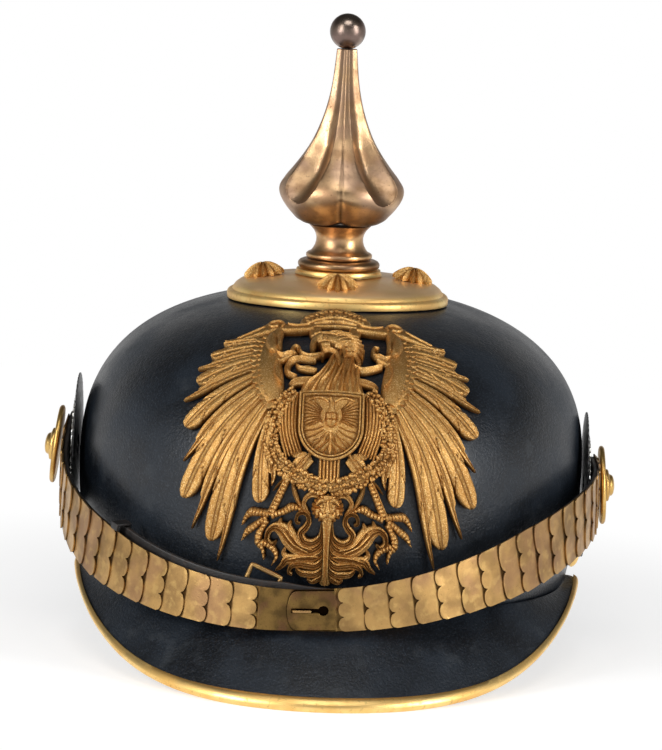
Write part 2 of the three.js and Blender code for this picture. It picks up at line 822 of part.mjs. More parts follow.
function shield() {
  const outline = (inset, lift) => {
    const half = SHIELD.halfWidth - inset;
    const points = [[-half, SHIELD.top - inset], [0, SHIELD.top + 0.6 - inset], [half, SHIELD.top - inset]];
    for (const degrees of steps(0, -180, 10)) {
      points.push([half * Math.cos(rad(degrees)), SHIELD.shoulder + half * Math.sin(rad(degrees))]);
    }
    return points.map(([u, w]) => onSkull(u, w, lift));
  };
  const { base, field, rim, border } = SHIELD;
  return loft([outline(0, base), outline(0, rim), outline(border, rim), outline(border, field)]);
}

function eaglePlate() {
  const strokes = Object.values(CENTRAL);
  for (const side of [-1, 1]) {
    for (const item of Object.values(MIRRORED)) {
      strokes.push({ ...item, points: item.points.map((point) => ({ ...point, u: side * point.u })) });
    }
  }
  return joined([wingFan(-1), wingFan(1), shield(), ...strokes.map(stroke)]);
}

// ---- Chin strap ---------------------------------------------------------------------------------

function strapHeight(degrees) {
  const share = Math.abs(degrees - STRAP.lowestAngle);
  if (degrees < STRAP.lowestAngle) {
    return STRAP.lowest + STRAP.leftRise * (share / (STRAP.endAngle + STRAP.lowestAngle)) ** STRAP.leftPower;
  }
  const t = share / (STRAP.endAngle - STRAP.lowestAngle);
  return STRAP.lowest + STRAP.rightRise * Math.sin((Math.PI / 2) * t) ** 2;
}

function strapWidth(degrees) {
  const share = Math.min(Math.abs(degrees + 4) / 45, 1);
  return lerp(STRAP.midWidth, STRAP.endWidth, share ** 1.3);
}

// The strap's scale face at an angle: place, direction along, outward normal and direction across (up).
function strapFrame(degrees) {
  const place = (angle) => {
    const closing = Math.abs(Math.sin(rad(angle))) ** STRAP.endSharpness;
    const offset = STRAP.endOffset + STRAP.clearOffset * (1 - closing);
    const power = 2 / SKULL.planPower;
    const x = (SKULL.halfWidth + offset) * signedPower(Math.sin(rad(angle)), power);
    const y = -(SKULL.halfLength + offset) * signedPower(Math.cos(rad(angle)), power);
    return vec(x, y, strapHeight(angle));
  };
  const along = place(degrees + 0.25).sub(place(degrees - 0.25)).normalize();
  const out = vec(along.y, -along.x, 0).normalize();
  const across = out.clone().cross(along).normalize();
  if (across.z < 0) across.negate();
  return { place: place(degrees), along, out, across };
}

// Angles at equal distances along the strap, between two angles.
function strapStations(from, to, pitch) {
  const fine = steps(from, to, 400);
  const lengths = [0];
  for (let i = 1; i < fine.length; i++) {
    const step = strapFrame(fine[i]).place.distanceTo(strapFrame(fine[i - 1]).place);
    lengths.push(lengths[i - 1] + step);
  }
  const count = Math.round(lengths.at(-1) / pitch);
  return steps(0, lengths.at(-1), count).map((length) => {
    const i = Math.max(lengths.findIndex((value) => value >= length - 1e-6), 1);
    const share = (length - lengths[i - 1]) / (lengths[i] - lengths[i - 1]);
    return lerp(fine[i - 1], fine[i], share);
  });
}

// A strip that follows the strap. Its section's corners are [distance up across it, distance out].
function strapStrip(angles, section) {
  return loft(angles.map((degrees) => {
    const { place, out, across } = strapFrame(degrees);
    const spot = ([side, depth]) => place.clone().addScaledVector(across, side).addScaledVector(out, depth);
    return section(degrees).map(spot);
  }));
}

const LEATHER_OUTER = -STRAP.scale - GAP;
const LEATHER_INNER = LEATHER_OUTER - STRAP.leather;
// The leather backs the scales from its free end, narrower than they are, round the rosette's pivot.
const LEATHER = { leftFrom: -11.4, rightFrom: 2.5, pastEnd: 6.5, inset: 0.9, endRounding: 0.12, stations: 12 };

function leatherStrap(side) {
  const from = side < 0 ? LEATHER.leftFrom : LEATHER.rightFrom;
  const angles = steps(from, side * (STRAP.endAngle + LEATHER.pastEnd), LEATHER.stations);
  return strapStrip(angles, (degrees) => {
    const past = Math.max(Math.abs(degrees) - STRAP.endAngle, 0) / LEATHER.pastEnd;
    const rounding = Math.sqrt(Math.max(1 - past ** 2, LEATHER.endRounding));
    const half = (strapWidth(degrees) / 2 - LEATHER.inset) * rounding;
    return [[-half, LEATHER_INNER], [half, LEATHER_INNER], [half, LEATHER_OUTER], [-half, LEATHER_OUTER]];
  });
}

// Angles of the bands' free ends, how deep their lobes are cut, and how thick a scale is where the next covers it.
const SCALES = { leftFree: -11, rightFree: 2.1, lobeDepth: 1.5, covered: 0.45, step: 0.05, columns: 6 };

// Overlapping scales as one stepped band: each rises towards its lobed edge and drops to the next.
function scaleBand(side) {
  const free = side < 0 ? SCALES.leftFree : SCALES.rightFree;
  const stations = strapStations(free, side * STRAP.endAngle, STRAP.pitch);
  const columns = steps(-1, 1, SCALES.columns);
  const low = -STRAP.scale + SCALES.covered;
  const lobed = (share, lobes) => {
    return SCALES.lobeDepth * (1 - Math.abs(Math.sin((Math.PI * lobes * (share + 1)) / 2)));
  };
  const degreesPerMillimetre = (degrees) => {
    const before = strapFrame(degrees - 0.5).place;
    return 1 / strapFrame(degrees + 0.5).place.distanceTo(before);
  };
  const row = (degrees, lobes, nudge, depth) => {
    const spot = (share, height) => {
      const shifted = degrees + side * (lobed(share, lobes) + nudge) * degreesPerMillimetre(degrees);
      const { place, out, across } = strapFrame(shifted);
      return place.addScaledVector(across, (share * strapWidth(shifted)) / 2).addScaledVector(out, height);
    };
    return [...columns.map((share) => spot(share, depth)), spot(1, -STRAP.scale), spot(-1, -STRAP.scale)];
  };
  return loft(stations.flatMap((degrees, i) => {
    const lobes = i % 2 ? 2 : 3;
    const raised = row(degrees, lobes, SCALES.step, i === stations.length - 1 ? low : 0);
    return i > 0 ? [row(degrees, lobes, -SCALES.step, low), raised] : [raised];
  }));
}

// Smooth plate under the clasp; its hook holds the tongue.
const CLASP_PLATE = { from: -10.6, to: 1.7, inner: -1.1, outer: -0.5, stations: 6 };

function claspPlate() {
  const { from, to, inner, outer, stations } = CLASP_PLATE;
  return strapStrip(steps(from, to, stations), (degrees) => {
    const half = strapWidth(degrees) / 2;
    return [[-half, inner], [half, inner], [half, outer], [-half, outer]];
  });
}

// Round-ended tongue from the other half, with a keyhole that the hook goes through.
const TONGUE = {
  nose: -14.2,
  root: 4.1,
  inset: 0.4,
  noseShare: 0.6,
  thickness: 0.8,
  slotEnd: -12.4,
  slotHalf: 0.7,
  eye: 1.7,
};

function claspTongue() {
  const half = STRAP.midWidth / 2 - TONGUE.inset;
  const noseLength = half * TONGUE.noseShare;
  const arc = (centre, length, height, from, to, count) => steps(from, to, count).map((degrees) => {
    return new THREE.Vector2(centre + length * Math.cos(rad(degrees)), height * Math.sin(rad(degrees)));
  });
  const { nose, root, thickness, slotEnd, slotHalf, eye } = TONGUE;
  const corners = [new THREE.Vector2(root, half), new THREE.Vector2(root, -half)];
  const outline = new THREE.Shape([...corners, ...arc(nose + noseLength, noseLength, half, 270, 90, 12)]);
  const eyeStart = THREE.MathUtils.radToDeg(Math.asin(slotHalf / eye));
  const slot = [new THREE.Vector2(slotEnd, slotHalf), new THREE.Vector2(slotEnd, -slotHalf)];
  outline.holes.push(new THREE.Path([...slot, ...arc(0, eye, eye, 180 + eyeStart, 540 - eyeStart, 10)]));
  const geometry = new THREE.ExtrudeGeometry(outline, { depth: thickness, bevelEnabled: false });
  return layOnStrap(geometry, CLASP_PLATE.outer + GAP);
}

// Bends a flat drawing (x along, y across, z outward) on to the strap's face at the front.
function layOnStrap(geometry, depth) {
  const p = geometry.getAttribute('position');
  const perDegree = strapFrame(1).place.distanceTo(strapFrame(0).place);
  for (let i = 0; i < p.count; i++) {
    const { place, out, across } = strapFrame(p.getX(i) / perDegree);
    const spot = place.addScaledVector(across, p.getY(i)).addScaledVector(out, p.getZ(i) + depth);
    p.setXYZ(i, spot.x, spot.y, spot.z);
  }
  return welded(geometry);
}

// Hook: a flat root that stands in the keyhole's slot and a bent nose over the tongue.
const HOOK_WIDTH = 0.8;
const HOOK_OUTLINE = [
  { x: -12, z: 0 },
  { x: -10.6, z: 0 },
  { x: -10.6, z: 1.35 },
  { x: -4.4, z: 1.7 },
  { x: -4.2, z: 2.4 },
  { x: -11.2, z: 2.4 },
  { x: -12, z: 1.6 },
];

function claspHook() {
  const side = new THREE.Shape(HOOK_OUTLINE.map(({ x, z }) => new THREE.Vector2(x, z)));
  const geometry = new THREE.ExtrudeGeometry(side, { depth: HOOK_WIDTH, bevelEnabled: false });
  geometry.translate(0, 0, -HOOK_WIDTH / 2).rotateX(Math.PI / 2);
  return layOnStrap(geometry, CLASP_PLATE.outer + GAP / 2);
}

// Narrow strap behind the leather; its top edge shows above the scales.
const ADJUSTER = { from: -46, to: 5, width: 5, above: 1.6, thickness: 1.5 };
const ADJUSTER_OUTER = LEATHER_INNER - GAP;
const ADJUSTER_INNER = ADJUSTER_OUTER - ADJUSTER.thickness;

function adjustingStrap() {
  return strapStrip(steps(ADJUSTER.from, ADJUSTER.to, 10), (degrees) => {
    const top = strapWidth(degrees) / 2 + ADJUSTER.above;
    const bottom = top - ADJUSTER.width;
    return [[bottom, ADJUSTER_INNER], [top, ADJUSTER_INNER], [top, ADJUSTER_OUTER], [bottom, ADJUSTER_OUTER]];
  });
}

// Loop of leather over the adjusting strap's end, open towards the scales' top edge.
const KEEPER = { angle: -45, halfLength: 1.7, band: 0.9, front: 0.4 };

function strapKeeper() {
  const { place, along, out, across } = strapFrame(KEEPER.angle);
  const bottom = strapWidth(KEEPER.angle) / 2 + GAP;
  const inside = bottom + ADJUSTER.above;
  const back = ADJUSTER_INNER - GAP;
  const { band, front } = KEEPER;
  const outside = inside + band;
  const outline = [[bottom, back - band], [outside, back - band], [outside, front], [bottom, front]];
  const hollow = [[bottom, front - band], [inside, front - band], [inside, back], [bottom, back]];
  const ring = (shift) => [...outline, ...hollow].map(([side, depth]) => place.clone()
    .addScaledVector(along, shift).addScaledVector(across, side).addScaledVector(out, depth));
  return loft([ring(-KEEPER.halfLength), ring(KEEPER.halfLength)]);
}

// Bent-wire frame buckle on the adjusting strap, standing above the scales.
const BUCKLE = { angle: -11, halfLength: 6.2, halfHeight: 5.2, wire: 0.85, tilt: 15, rise: 6.6, behind: 3 };

function adjustingBuckle() {
  const { place, along, out, across } = strapFrame(BUCKLE.angle);
  const depth = LEATHER_INNER - BUCKLE.behind;
  const centre = place.clone().addScaledVector(out, depth).addScaledVector(across, BUCKLE.rise);
  const sideways = along.clone().applyAxisAngle(out, -rad(BUCKLE.tilt));
  const upward = across.clone().applyAxisAngle(out, -rad(BUCKLE.tilt));
  const corners = [[-1, -1], [1, -1], [1, 1], [-1, 1]];
  const rings = corners.map(([a, b]) => {
    const spot = (inset, lift) => centre.clone()
      .addScaledVector(sideways, a * (BUCKLE.halfLength - inset))
      .addScaledVector(upward, b * (BUCKLE.halfHeight - inset))
      .addScaledVector(out, lift);
    const { wire } = BUCKLE;
    return [spot(0, 0), spot(wire, wire), spot(wire * 2, 0), spot(wire, -wire)];
  });
  return loft(rings, true);
}

// ---- Side fittings ------------------------------------------------------------------------------

const SIDES = [
  { name: 'left', side: -1, rise: STRAP.leftRise, lean: 6 },
  { name: 'right', side: 1, rise: STRAP.rightRise, lean: 3 },
];

// Radius and height of the turned fittings, from the face that is next to the skull.
const RING_ROWS = [
  { radius: 12, z: 0 },
  { radius: 17.5, z: 0 },
  { radius: 17.1, z: 0.5 },
  { radius: 12.8, z: 0.5 },
  { radius: 12, z: 0 },
];
const ROSETTE_ROWS = [
  { radius: 0, z: 0 },
  { radius: 13.4, z: 0 },
  { radius: 14, z: 0.5 },
  { radius: 14, z: 1.3 },
  { radius: 12.6, z: 1.9 },
  { radius: 10.6, z: 1.5 },
  { radius: 7, z: 2 },
  { radius: 0, z: 2 },
];
const BOSS_ROWS = [
  { radius: 0, z: 0 },
  { radius: 5.75, z: 0 },
  { radius: 5.5, z: 1 },
  { radius: 3.9, z: 1.4 },
  { radius: 3.2, z: 2.5 },
  { radius: 1.6, z: 3 },
  { radius: 0, z: 3 },
];
const ROSETTE_HEIGHT = 2;
const STUD_ROWS = [
  { radius: 0, z: 0 },
  { radius: 4.3, z: 0 },
  { radius: 4.1, z: 1 },
  { radius: 2.5, z: 2.5 },
  { radius: 0, z: 3.1 },
];

// Pleated disc with a raised outer band that slopes up to its middle.
const COCKADE_RINGS = [
  { radius: FITTING.cockadeRadius - 0.6, lift: 0, pleat: 0 },
  { radius: FITTING.cockadeRadius, lift: 0.3, pleat: 0.4 },
  { radius: FITTING.ringRadius, lift: 0.5, pleat: 0.4 },
];
const COCKADE_HEIGHT = 0.9;

function cockadeDisc() {
  const angles = steps(0, 360, FITTING.pleats * 2).slice(0, -1);
  const ring = ({ radius, lift, pleat }) => angles.map((degrees, i) => {
    return vec(radius * Math.cos(rad(degrees)), radius * Math.sin(rad(degrees)), lift + (i % 2) * pleat);
  });
  return loft(COCKADE_RINGS.map(ring));
}

// Turned pieces that face outwards at one side, stacked from the skull outwards.
function sideFittings({ name, side, rise, lean }) {
  const group = new THREE.Group();
  const height = STRAP.lowest + rise;
  const y = strapFrame(side * STRAP.endAngle).place.y;
  const outward = (geometry, x, tilt) => {
    const turnedOut = geometry.rotateY((side * Math.PI) / 2).rotateY(-side * rad(tilt));
    return turnedOut.translate(side * x, y, height);
  };
  const cockadeSeat = SKULL.halfWidth + GAP;
  const ringSeat = cockadeSeat + COCKADE_HEIGHT + GAP;
  const leanReach = FITTING.rosetteRadius * Math.sin(rad(lean));
  const rosetteSeat = SKULL.halfWidth + STRAP.endOffset + GAP + leanReach;
  const bossSeat = rosetteSeat + ROSETTE_HEIGHT + GAP;
  group.add(part(`cockade_${name}`, outward(cockadeDisc(), cockadeSeat, 0), 'blackPaint'));
  group.add(part(`cockade_ring_${name}`, outward(turned(RING_ROWS, 16), ringSeat, 0), 'silver'));
  group.add(part(`rosette_${name}`, outward(turned(ROSETTE_ROWS, 18), rosetteSeat, lean), 'agedBrass'));
  group.add(part(`rosette_boss_${name}`, outward(turned(BOSS_ROWS, 12), bossSeat, lean), 'satinGold'));
  return group;
}

// Domed stud beside each end of the visor's trim.
const TRIM_STUD = { angle: 88.5, height: 30, offset: 0.5 };

function trimStud({ name, side }) {
  const geometry = turned(STUD_ROWS, 12).rotateY((side * Math.PI) / 2);
  const seat = roundSkull(side * TRIM_STUD.angle, TRIM_STUD.height, TRIM_STUD.offset);
  return part(`trim_stud_${name}`, geometry.translate(seat.x, seat.y, seat.z), 'satinGold');
}

// ---- Assembly -----------------------------------------------------------------------------------

const helmet = new THREE.Group();
helmet.name = 'spiked_helmet';
helmet.add(part('skull', skullShell(), 'blackLeather'));
helmet.add(part('front_visor', visorShell(FRONT_EDGE), 'blackLeather'));
helmet.add(part('visor_trim', visorTrim(), 'satinGold'));
helmet.add(part('rear_visor', cutAtTable(visorShell(REAR_EDGE).rotateZ(Math.PI)), 'blackLeather'));
helmet.add(part('rear_spine', rearSpine(), 'satinGold'));
helmet.add(part('base_plate', basePlate(), 'satinGold'));
const STAR_PLACES = [
  { name: 'front', degrees: -90 },
  { name: 'right', degrees: 0 },
  { name: 'rear', degrees: 90 },
  { name: 'left', degrees: 180 },
];
STAR_PLACES.forEach((place) => helmet.add(starStud(place)));
helmet.add(part('spike_collar', turned(COLLAR_ROWS, 24, PLATE.seat), 'satinGold'));
helmet.add(part('spike_neck', turned(NECK_ROWS, 20, PLATE.seat), 'tonedBrass'));
helmet.add(part('fluted_spike', flutedSpike(), 'tonedBrass'));
helmet.add(part('spike_ball', spikeBall(), 'tarnished'));
helmet.add(part('eagle_plate', eaglePlate(), 'gilt'));
for (const { name, side } of SIDES) {
  helmet.add(part(`strap_leather_${name}`, leatherStrap(side), 'strapLeather'));
  helmet.add(part(`chin_scales_${name}`, scaleBand(side), 'agedBrass'));
}
helmet.add(part('clasp_plate', claspPlate(), 'agedBrass'));
helmet.add(part('clasp_tongue', claspTongue(), 'agedBrass'));
helmet.add(part('clasp_hook', claspHook(), 'agedBrass'));
helmet.add(part('adjusting_strap', adjustingStrap(), 'strapLeather'));
helmet.add(part('strap_keeper', strapKeeper(), 'strapLeather'));
helmet.add(part('adjusting_buckle', adjustingBuckle(), 'agedBrass'));
SIDES.forEach((fitting) => helmet.add(sideFittings(fitting), trimStud(fitting)));

export default helmet;
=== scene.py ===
import math
from contextlib import contextmanager

import bpy
import numpy as np
from mathutils import Matrix, Vector


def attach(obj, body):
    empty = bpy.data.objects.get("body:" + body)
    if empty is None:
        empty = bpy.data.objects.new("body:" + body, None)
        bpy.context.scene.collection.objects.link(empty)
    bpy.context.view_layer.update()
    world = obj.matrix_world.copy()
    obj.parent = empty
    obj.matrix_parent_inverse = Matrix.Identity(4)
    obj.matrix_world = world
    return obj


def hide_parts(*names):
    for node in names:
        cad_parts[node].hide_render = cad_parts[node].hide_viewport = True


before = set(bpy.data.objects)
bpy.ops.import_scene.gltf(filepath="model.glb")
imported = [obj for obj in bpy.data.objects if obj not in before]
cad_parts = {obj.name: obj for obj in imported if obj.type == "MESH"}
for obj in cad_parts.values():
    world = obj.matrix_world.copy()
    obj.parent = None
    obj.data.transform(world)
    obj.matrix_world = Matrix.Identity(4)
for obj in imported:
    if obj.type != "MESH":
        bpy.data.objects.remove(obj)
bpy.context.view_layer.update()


# ---- Leather skull ------------------------------------------------------------------------------
# The skull is one piece of thick leather, blocked wet over a wooden form, then lacquered black and
# polished. Its wall is about 2.6 mm, its rim is cut square, and it is open underneath.
MM = 0.001
HALF_WIDTH = 90
HALF_LENGTH = 110
PLAN_POWER = 2.2
RIM = 23
RIM_TAPER = 0.05
EQUATOR = 62
DOME = 59
DOME_POWER = 2.5
DOME_ROUNDING = 2.6
WALL = 2.6
UPRIGHT_SHARE = 0.24
LUMP = 0.22


def ramp(value, start=0, end=1):
    """Runs evenly from 0 to 1 as the value goes from start to end, and stays there past them."""
    return np.clip((value - start) / (end - start), 0, 1)


def plan_scale(z):
    """Size of the skull's plan at a height, as a share of its size at the equator."""
    below = 1 - RIM_TAPER * ((EQUATOR - z) / (EQUATOR - RIM)) ** 2
    above = (1 - ramp(z, EQUATOR, EQUATOR + DOME) ** DOME_POWER) ** (1 / DOME_ROUNDING)
    return np.where(z < EQUATOR, below, above)


def plan_spot(degrees, half_width, half_length):
    """Place on the plan's rounded outline at an angle from the front."""
    turn = np.radians(degrees)
    x, y = (np.sign(v) * np.abs(v) ** (2 / PLAN_POWER) for v in (np.sin(turn), np.cos(turn)))
    return half_width * x, -half_length * y


def round_skull(degrees, z, offset=0.0):
    """Place at an angle from the front, a height, and a distance outside the skull's plan."""
    scale = plan_scale(z)
    x, y = plan_spot(degrees, HALF_WIDTH * scale + offset, HALF_LENGTH * scale + offset)
    return np.stack(np.broadcast_arrays(x, y, z), axis=-1)


def select_only(piece=None):
    bpy.ops.object.select_all(action="DESELECT")
    if piece:
        piece.select_set(True)
        bpy.context.view_layer.objects.active = piece


@contextmanager
def editing(piece):
    """Opens a piece in edit mode with all of it selected."""
    select_only(piece)
    bpy.ops.object.mode_set(mode="EDIT")
    bpy.ops.mesh.select_all(action="SELECT")
    yield
    bpy.ops.object.mode_set(mode="OBJECT")


def merge_and_turn_out(piece, reach=0.002):
    """Merges a closed piece's doubles, then turns its faces outwards."""
    with editing(piece):
        bpy.ops.mesh.remove_doubles(threshold=reach * MM)
        bpy.ops.mesh.delete_loose()
        bpy.ops.mesh.select_all(action="SELECT")
        bpy.ops.mesh.normals_make_consistent(inside=False)


def named(name):
    """Names the primitive that was just added."""
    piece = bpy.context.object
    piece.name = piece.data.name = name
    return piece


def write_tone(piece, values=0.0):
    """Keeps a number at each vertex for the finish: how hollow or covered the surface is there, which the
    finishes paint darker, as painted shade and, on the gilt and old brass, partly as patina.
    """
    tone = piece.data.attributes.new("tone", "FLOAT", "POINT")
    filled = np.broadcast_to(np.asarray(values, dtype=np.float32), len(piece.data.vertices))
    tone.data.foreach_set("value", np.ascontiguousarray(filled))


def move_vertices(piece, change, drawn=MM):
    """Moves a mesh's vertices; change takes their places in the drawn unit and gives millimetres."""
    spots = np.empty(len(piece.data.vertices) * 3)
    piece.data.vertices.foreach_get("co", spots)
    piece.data.vertices.foreach_set("co", (change(spots.reshape(-1, 3) / drawn) * MM).ravel())
    piece.data.update()


def draped(name, columns, rows, place, tone=None, closed=False):
    """A grid laid where place(s, t) says, with s and t from 0 to 1; tone(s, t) is kept for its colour."""
    select_only()
    bpy.ops.mesh.primitive_grid_add(x_subdivisions=columns, y_subdivisions=rows, size=1)
    piece = named(name)
    shares = []

    def lay(spots):
        shares.extend(np.clip(spots[:, :2].T + 0.5, 0, 1))
        return place(*shares)

    move_vertices(piece, lay, drawn=1)
    if tone:
        write_tone(piece, tone(*shares))
    if closed:
        merge_and_turn_out(piece)
    return piece


def finish_shape(piece, kind, **settings):
    """Adds one modifier with its settings and applies it."""
    select_only(piece)
    modifier = piece.modifiers.new(kind.title(), kind)
    for key, value in settings.items():
        setattr(modifier, key, value)
    bpy.ops.object.modifier_apply(modifier=modifier.name)


def thicken(piece, thickness, offset=-1):
    finish_shape(piece, "SOLIDIFY", thickness=thickness * MM, offset=offset, use_even_offset=True)


def soften(piece, width, segments=2, angle=35):
    finish_shape(piece, "BEVEL", width=width * MM, segments=segments, limit_method="ANGLE",
                 angle_limit=math.radians(angle), use_clamp_overlap=True)


class Channel:
    """A value inside a finish. Sums and products of channels add the nodes that make them."""

    def __init__(self, finish, socket):
        self.finish = finish
        self.socket = socket

    def math(self, operation, first, second):
        return self.finish.add("ShaderNodeMath", {"operation": operation}, {0: first, 1: second})

    def __add__(self, other):
        return self.math("ADD", self, other)

    def __sub__(self, other):
        return self.math("SUBTRACT", self, other)

    def __rsub__(self, other):
        return self.math("SUBTRACT", other, self)

    def __mul__(self, other):
        return self.math("MULTIPLY", self, other)

    __radd__ = __add__
    __rmul__ = __mul__

    def between(self, low, high, start=0.0, end=1.0):
        """Runs smoothly from start to end as the value goes from low to high."""
        limits = {"Value": self, "From Min": low, "From Max": high, "To Min": start, "To Max": end}
        return self.finish.add("ShaderNodeMapRange", {"interpolation_type": "SMOOTHSTEP"}, limits)


class Finish:
    """One surface finish: a Principled material whose patterns read object coordinates in millimetres."""

    def __init__(self, name, slot=None, **constants):
        self.slot = slot
        self.material = bpy.data.materials.new(name)
        self.material.use_nodes = True
        self.tree = self.material.node_tree
        self.shader = self.tree.nodes["Principled BSDF"]
        spot = self.tree.nodes.new("ShaderNodeTexCoord").outputs["Object"]
        scaled = {0: Channel(self, spot), "Scale": 1 / MM}
        self.spot = self.add("ShaderNodeVectorMath", {"operation": "SCALE"}, scaled)
        for key, value in constants.items():
            self.shader.inputs[key.replace("_", " ")].default_value = value

    def add(self, kind, settings, inputs, output=0):
        node = self.tree.nodes.new(kind)
        for key, value in settings.items():
            setattr(node, key, value)
        for key, value in inputs.items():
            if isinstance(value, Channel):
                self.tree.links.new(value.socket, node.inputs[key])
            else:
                node.inputs[key].default_value = value
        return Channel(self, node.outputs[output])

    def noise(self, size, detail=3.0, spot=None):
        inputs = {"Vector": spot or self.spot, "Scale": 1 / size, "Detail": detail}
        return self.add("ShaderNodeTexNoise", {}, inputs)

    def cells(self, size, feature="SMOOTH_F1"):
        inputs = {"Vector": self.spot, "Scale": 1 / size}
        return self.add("ShaderNodeTexVoronoi", {"feature": feature}, inputs)

    def stretched(self, x, y, z):
        """The place, with its axes scaled, for patterns that run one way."""
        return self.add("ShaderNodeMapping", {}, {"Vector": self.spot, "Scale": (x, y, z)})

    def distance(self, spot):
        return self.add("ShaderNodeVectorMath", {"operation": "LENGTH"}, {0: spot}, output=1)

    def tone(self):
        return self.add("ShaderNodeAttribute", {"attribute_name": "tone"}, {}, output=2)

    def blend(self, share, low, high):
        sockets = {0: share, 6: colour(low), 7: colour(high)}
        return self.add("ShaderNodeMix", {"data_type": "RGBA"}, sockets, output=2)

    def coats(self, tint, *layers):
        """Lays further colours over a colour, each by its share."""
        for share, over in layers:
            tint = self.blend(share, tint, over)
        return tint

    def grain(self, level, depth):
        return self.add("ShaderNodeBump", {}, {"Height": level, "Distance": depth * MM, "Strength": 1.0})

    def feed(self, **channels):
        for key, channel in channels.items():
            self.tree.links.new(channel.socket, self.shader.inputs[key.replace("_", " ")])
        return self


def colour(value):
    """A colour as the nodes take it: a channel as it is, or 0-255 values as linear light."""
    if isinstance(value, Channel):
        return value
    return (*((v / 255) ** 2.2 for v in value), 1.0)


def dress(piece, finish, node, angle=38):
    """Gives a finished piece its smooth faces and its finish, hangs it on the root body, and hides the CAD
    node that it stands for.
    """
    select_only(piece)
    bpy.ops.object.shade_smooth_by_angle(angle=math.radians(angle))
    piece.data.materials.clear()
    piece.data.materials.append(finish.material)
    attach(piece, "root")
    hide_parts(node)


def lacquered_leather():
    """Black lacquer over pebbled leather: fine grain, dull patches, and light grey specks painted into the
    colour as the grain's glints, also made a little glossier.
    """
    leather = Finish("Lacquered leather", "black_leather", Coat_Roughness=0.26, Specular_IOR_Level=0.3)
    patches = leather.noise(24, 4)
    wear = leather.noise(9, 6).between(0.56, 0.72)
    glint_specks = leather.noise(0.6, 2).between(0.54, 0.64)
    pebble = leather.cells(1.1) * 0.5 + leather.noise(0.7, 4) * 0.9
    creases = leather.cells(5.5, "DISTANCE_TO_EDGE").between(0.0, 0.12, 1, 0)
    lacquer = leather.blend(patches.between(0.35, 0.68), (12, 16, 21), (29, 35, 42))
    return leather.feed(
        # The light grey specks in the colour are painted glints of the grain.
        Base_Color=leather.coats(lacquer, (glint_specks * 0.5, (48, 54, 62)), (wear * 0.4, (50, 54, 58))),
        Roughness=patches.between(0.3, 0.7, 0.36, 0.48) + wear * 0.1 - glint_specks * 0.08,
        Coat_Weight=patches.between(0.3, 0.75, 0.32, 0.1),
        Normal=leather.grain(pebble - creases * 0.1 + leather.noise(3.2, 2) * 0.35, 0.2),
    )


black_leather = lacquered_leather()


def skull_place(s, t):
    low = RIM + (EQUATOR - RIM) * ramp(t, 0, UPRIGHT_SHARE)
    dome = EQUATOR + DOME * np.sin(np.pi / 2 * ramp(t, UPRIGHT_SHARE))
    z = np.where(t < UPRIGHT_SHARE, low, dome)
    turn = 2 * np.pi * s
    lumps = LUMP * np.sin(0.071 * z + 3 * turn) * np.sin(2 * turn + 1.1)
    return round_skull(360 * s, z, np.where(t < 1, lumps, 0))


skull = draped("skull_leather", 180, 84, skull_place, closed=True)
thicken(skull, WALL)
soften(skull, 0.6, 3, 50)
dress(skull, black_leather, "skull")


# ---- Visors -------------------------------------------------------------------------------------
# The two visors are separate pieces of the same leather, sewn to the skull's rim from inside. They
# are 2.2 mm thick, arch over a little, and their lowest edges carry the helmet on a table.
VISOR_THICKNESS = 2.2
VISOR_END = 84
VISOR_HALF_WIDTH = 90
VISOR_REACH = 131
VISOR_CENTRE = -10
VISOR_BULGE = 1.4
FRONT = {"rise": 24, "power": 5, "clearance": 0.75, "inset": 0.8}
REAR = {"rise": 24, "power": 4, "clearance": 0.45, "inset": -0.3}


def unit(vectors):
    return vectors / np.linalg.norm(vectors, axis=-1, keepdims=True)


def visor_middle(degrees, t, edge):
    """The visor's middle surface, from its root on the skull at t = 0 to its edge at t = 1."""
    turn = np.radians(degrees)
    root = round_skull(degrees, RIM + 0.6 + 4 * np.cos(turn) ** 2, 0.4)
    z = edge["clearance"] + edge["rise"] * np.abs(np.sin(turn)) ** edge["power"]
    y = VISOR_CENTRE - VISOR_REACH * np.cos(turn)
    out = np.stack((VISOR_HALF_WIDTH * np.sin(turn), y, z), axis=-1) - root
    length = np.linalg.norm(out, axis=-1, keepdims=True)
    t = np.asarray(t)[..., None]
    bulge = VISOR_BULGE * np.minimum(length / 40, 1) * np.sin(np.pi * t)
    return root + out * t * (1 - edge["inset"] / length) + bulge * np.array([0, 0, 1])


def visor_directions(degrees, t, edge):
    """Outward and upward directions on the visor."""
    out = unit(visor_middle(degrees, t, edge) - visor_middle(degrees, t - 0.1, edge))
    along = unit(visor_middle(degrees + 0.5, t, edge) - visor_middle(degrees - 0.5, t, edge))
    top = unit(np.cross(out, along))
    return out, np.where(top[..., 2:] < 0, -top, top)


def above_table(spots):
    spots[:, 2] = np.maximum(spots[:, 2], 0)
    return spots


def visor(name, edge, turned, node):
    def place(s, t):
        return visor_middle(VISOR_END * (2 * s - 1), 1 - t, edge) * np.array([turned, turned, 1])

    piece = draped(name, 150, 26, place)
    thicken(piece, VISOR_THICKNESS, 0)
    soften(piece, 0.55, 3, 50)
    move_vertices(piece, above_table)
    dress(piece, black_leather, node)


visor("front_visor_leather", FRONT, 1, "front_visor")
visor("rear_visor_leather", REAR, -1, "rear_visor")


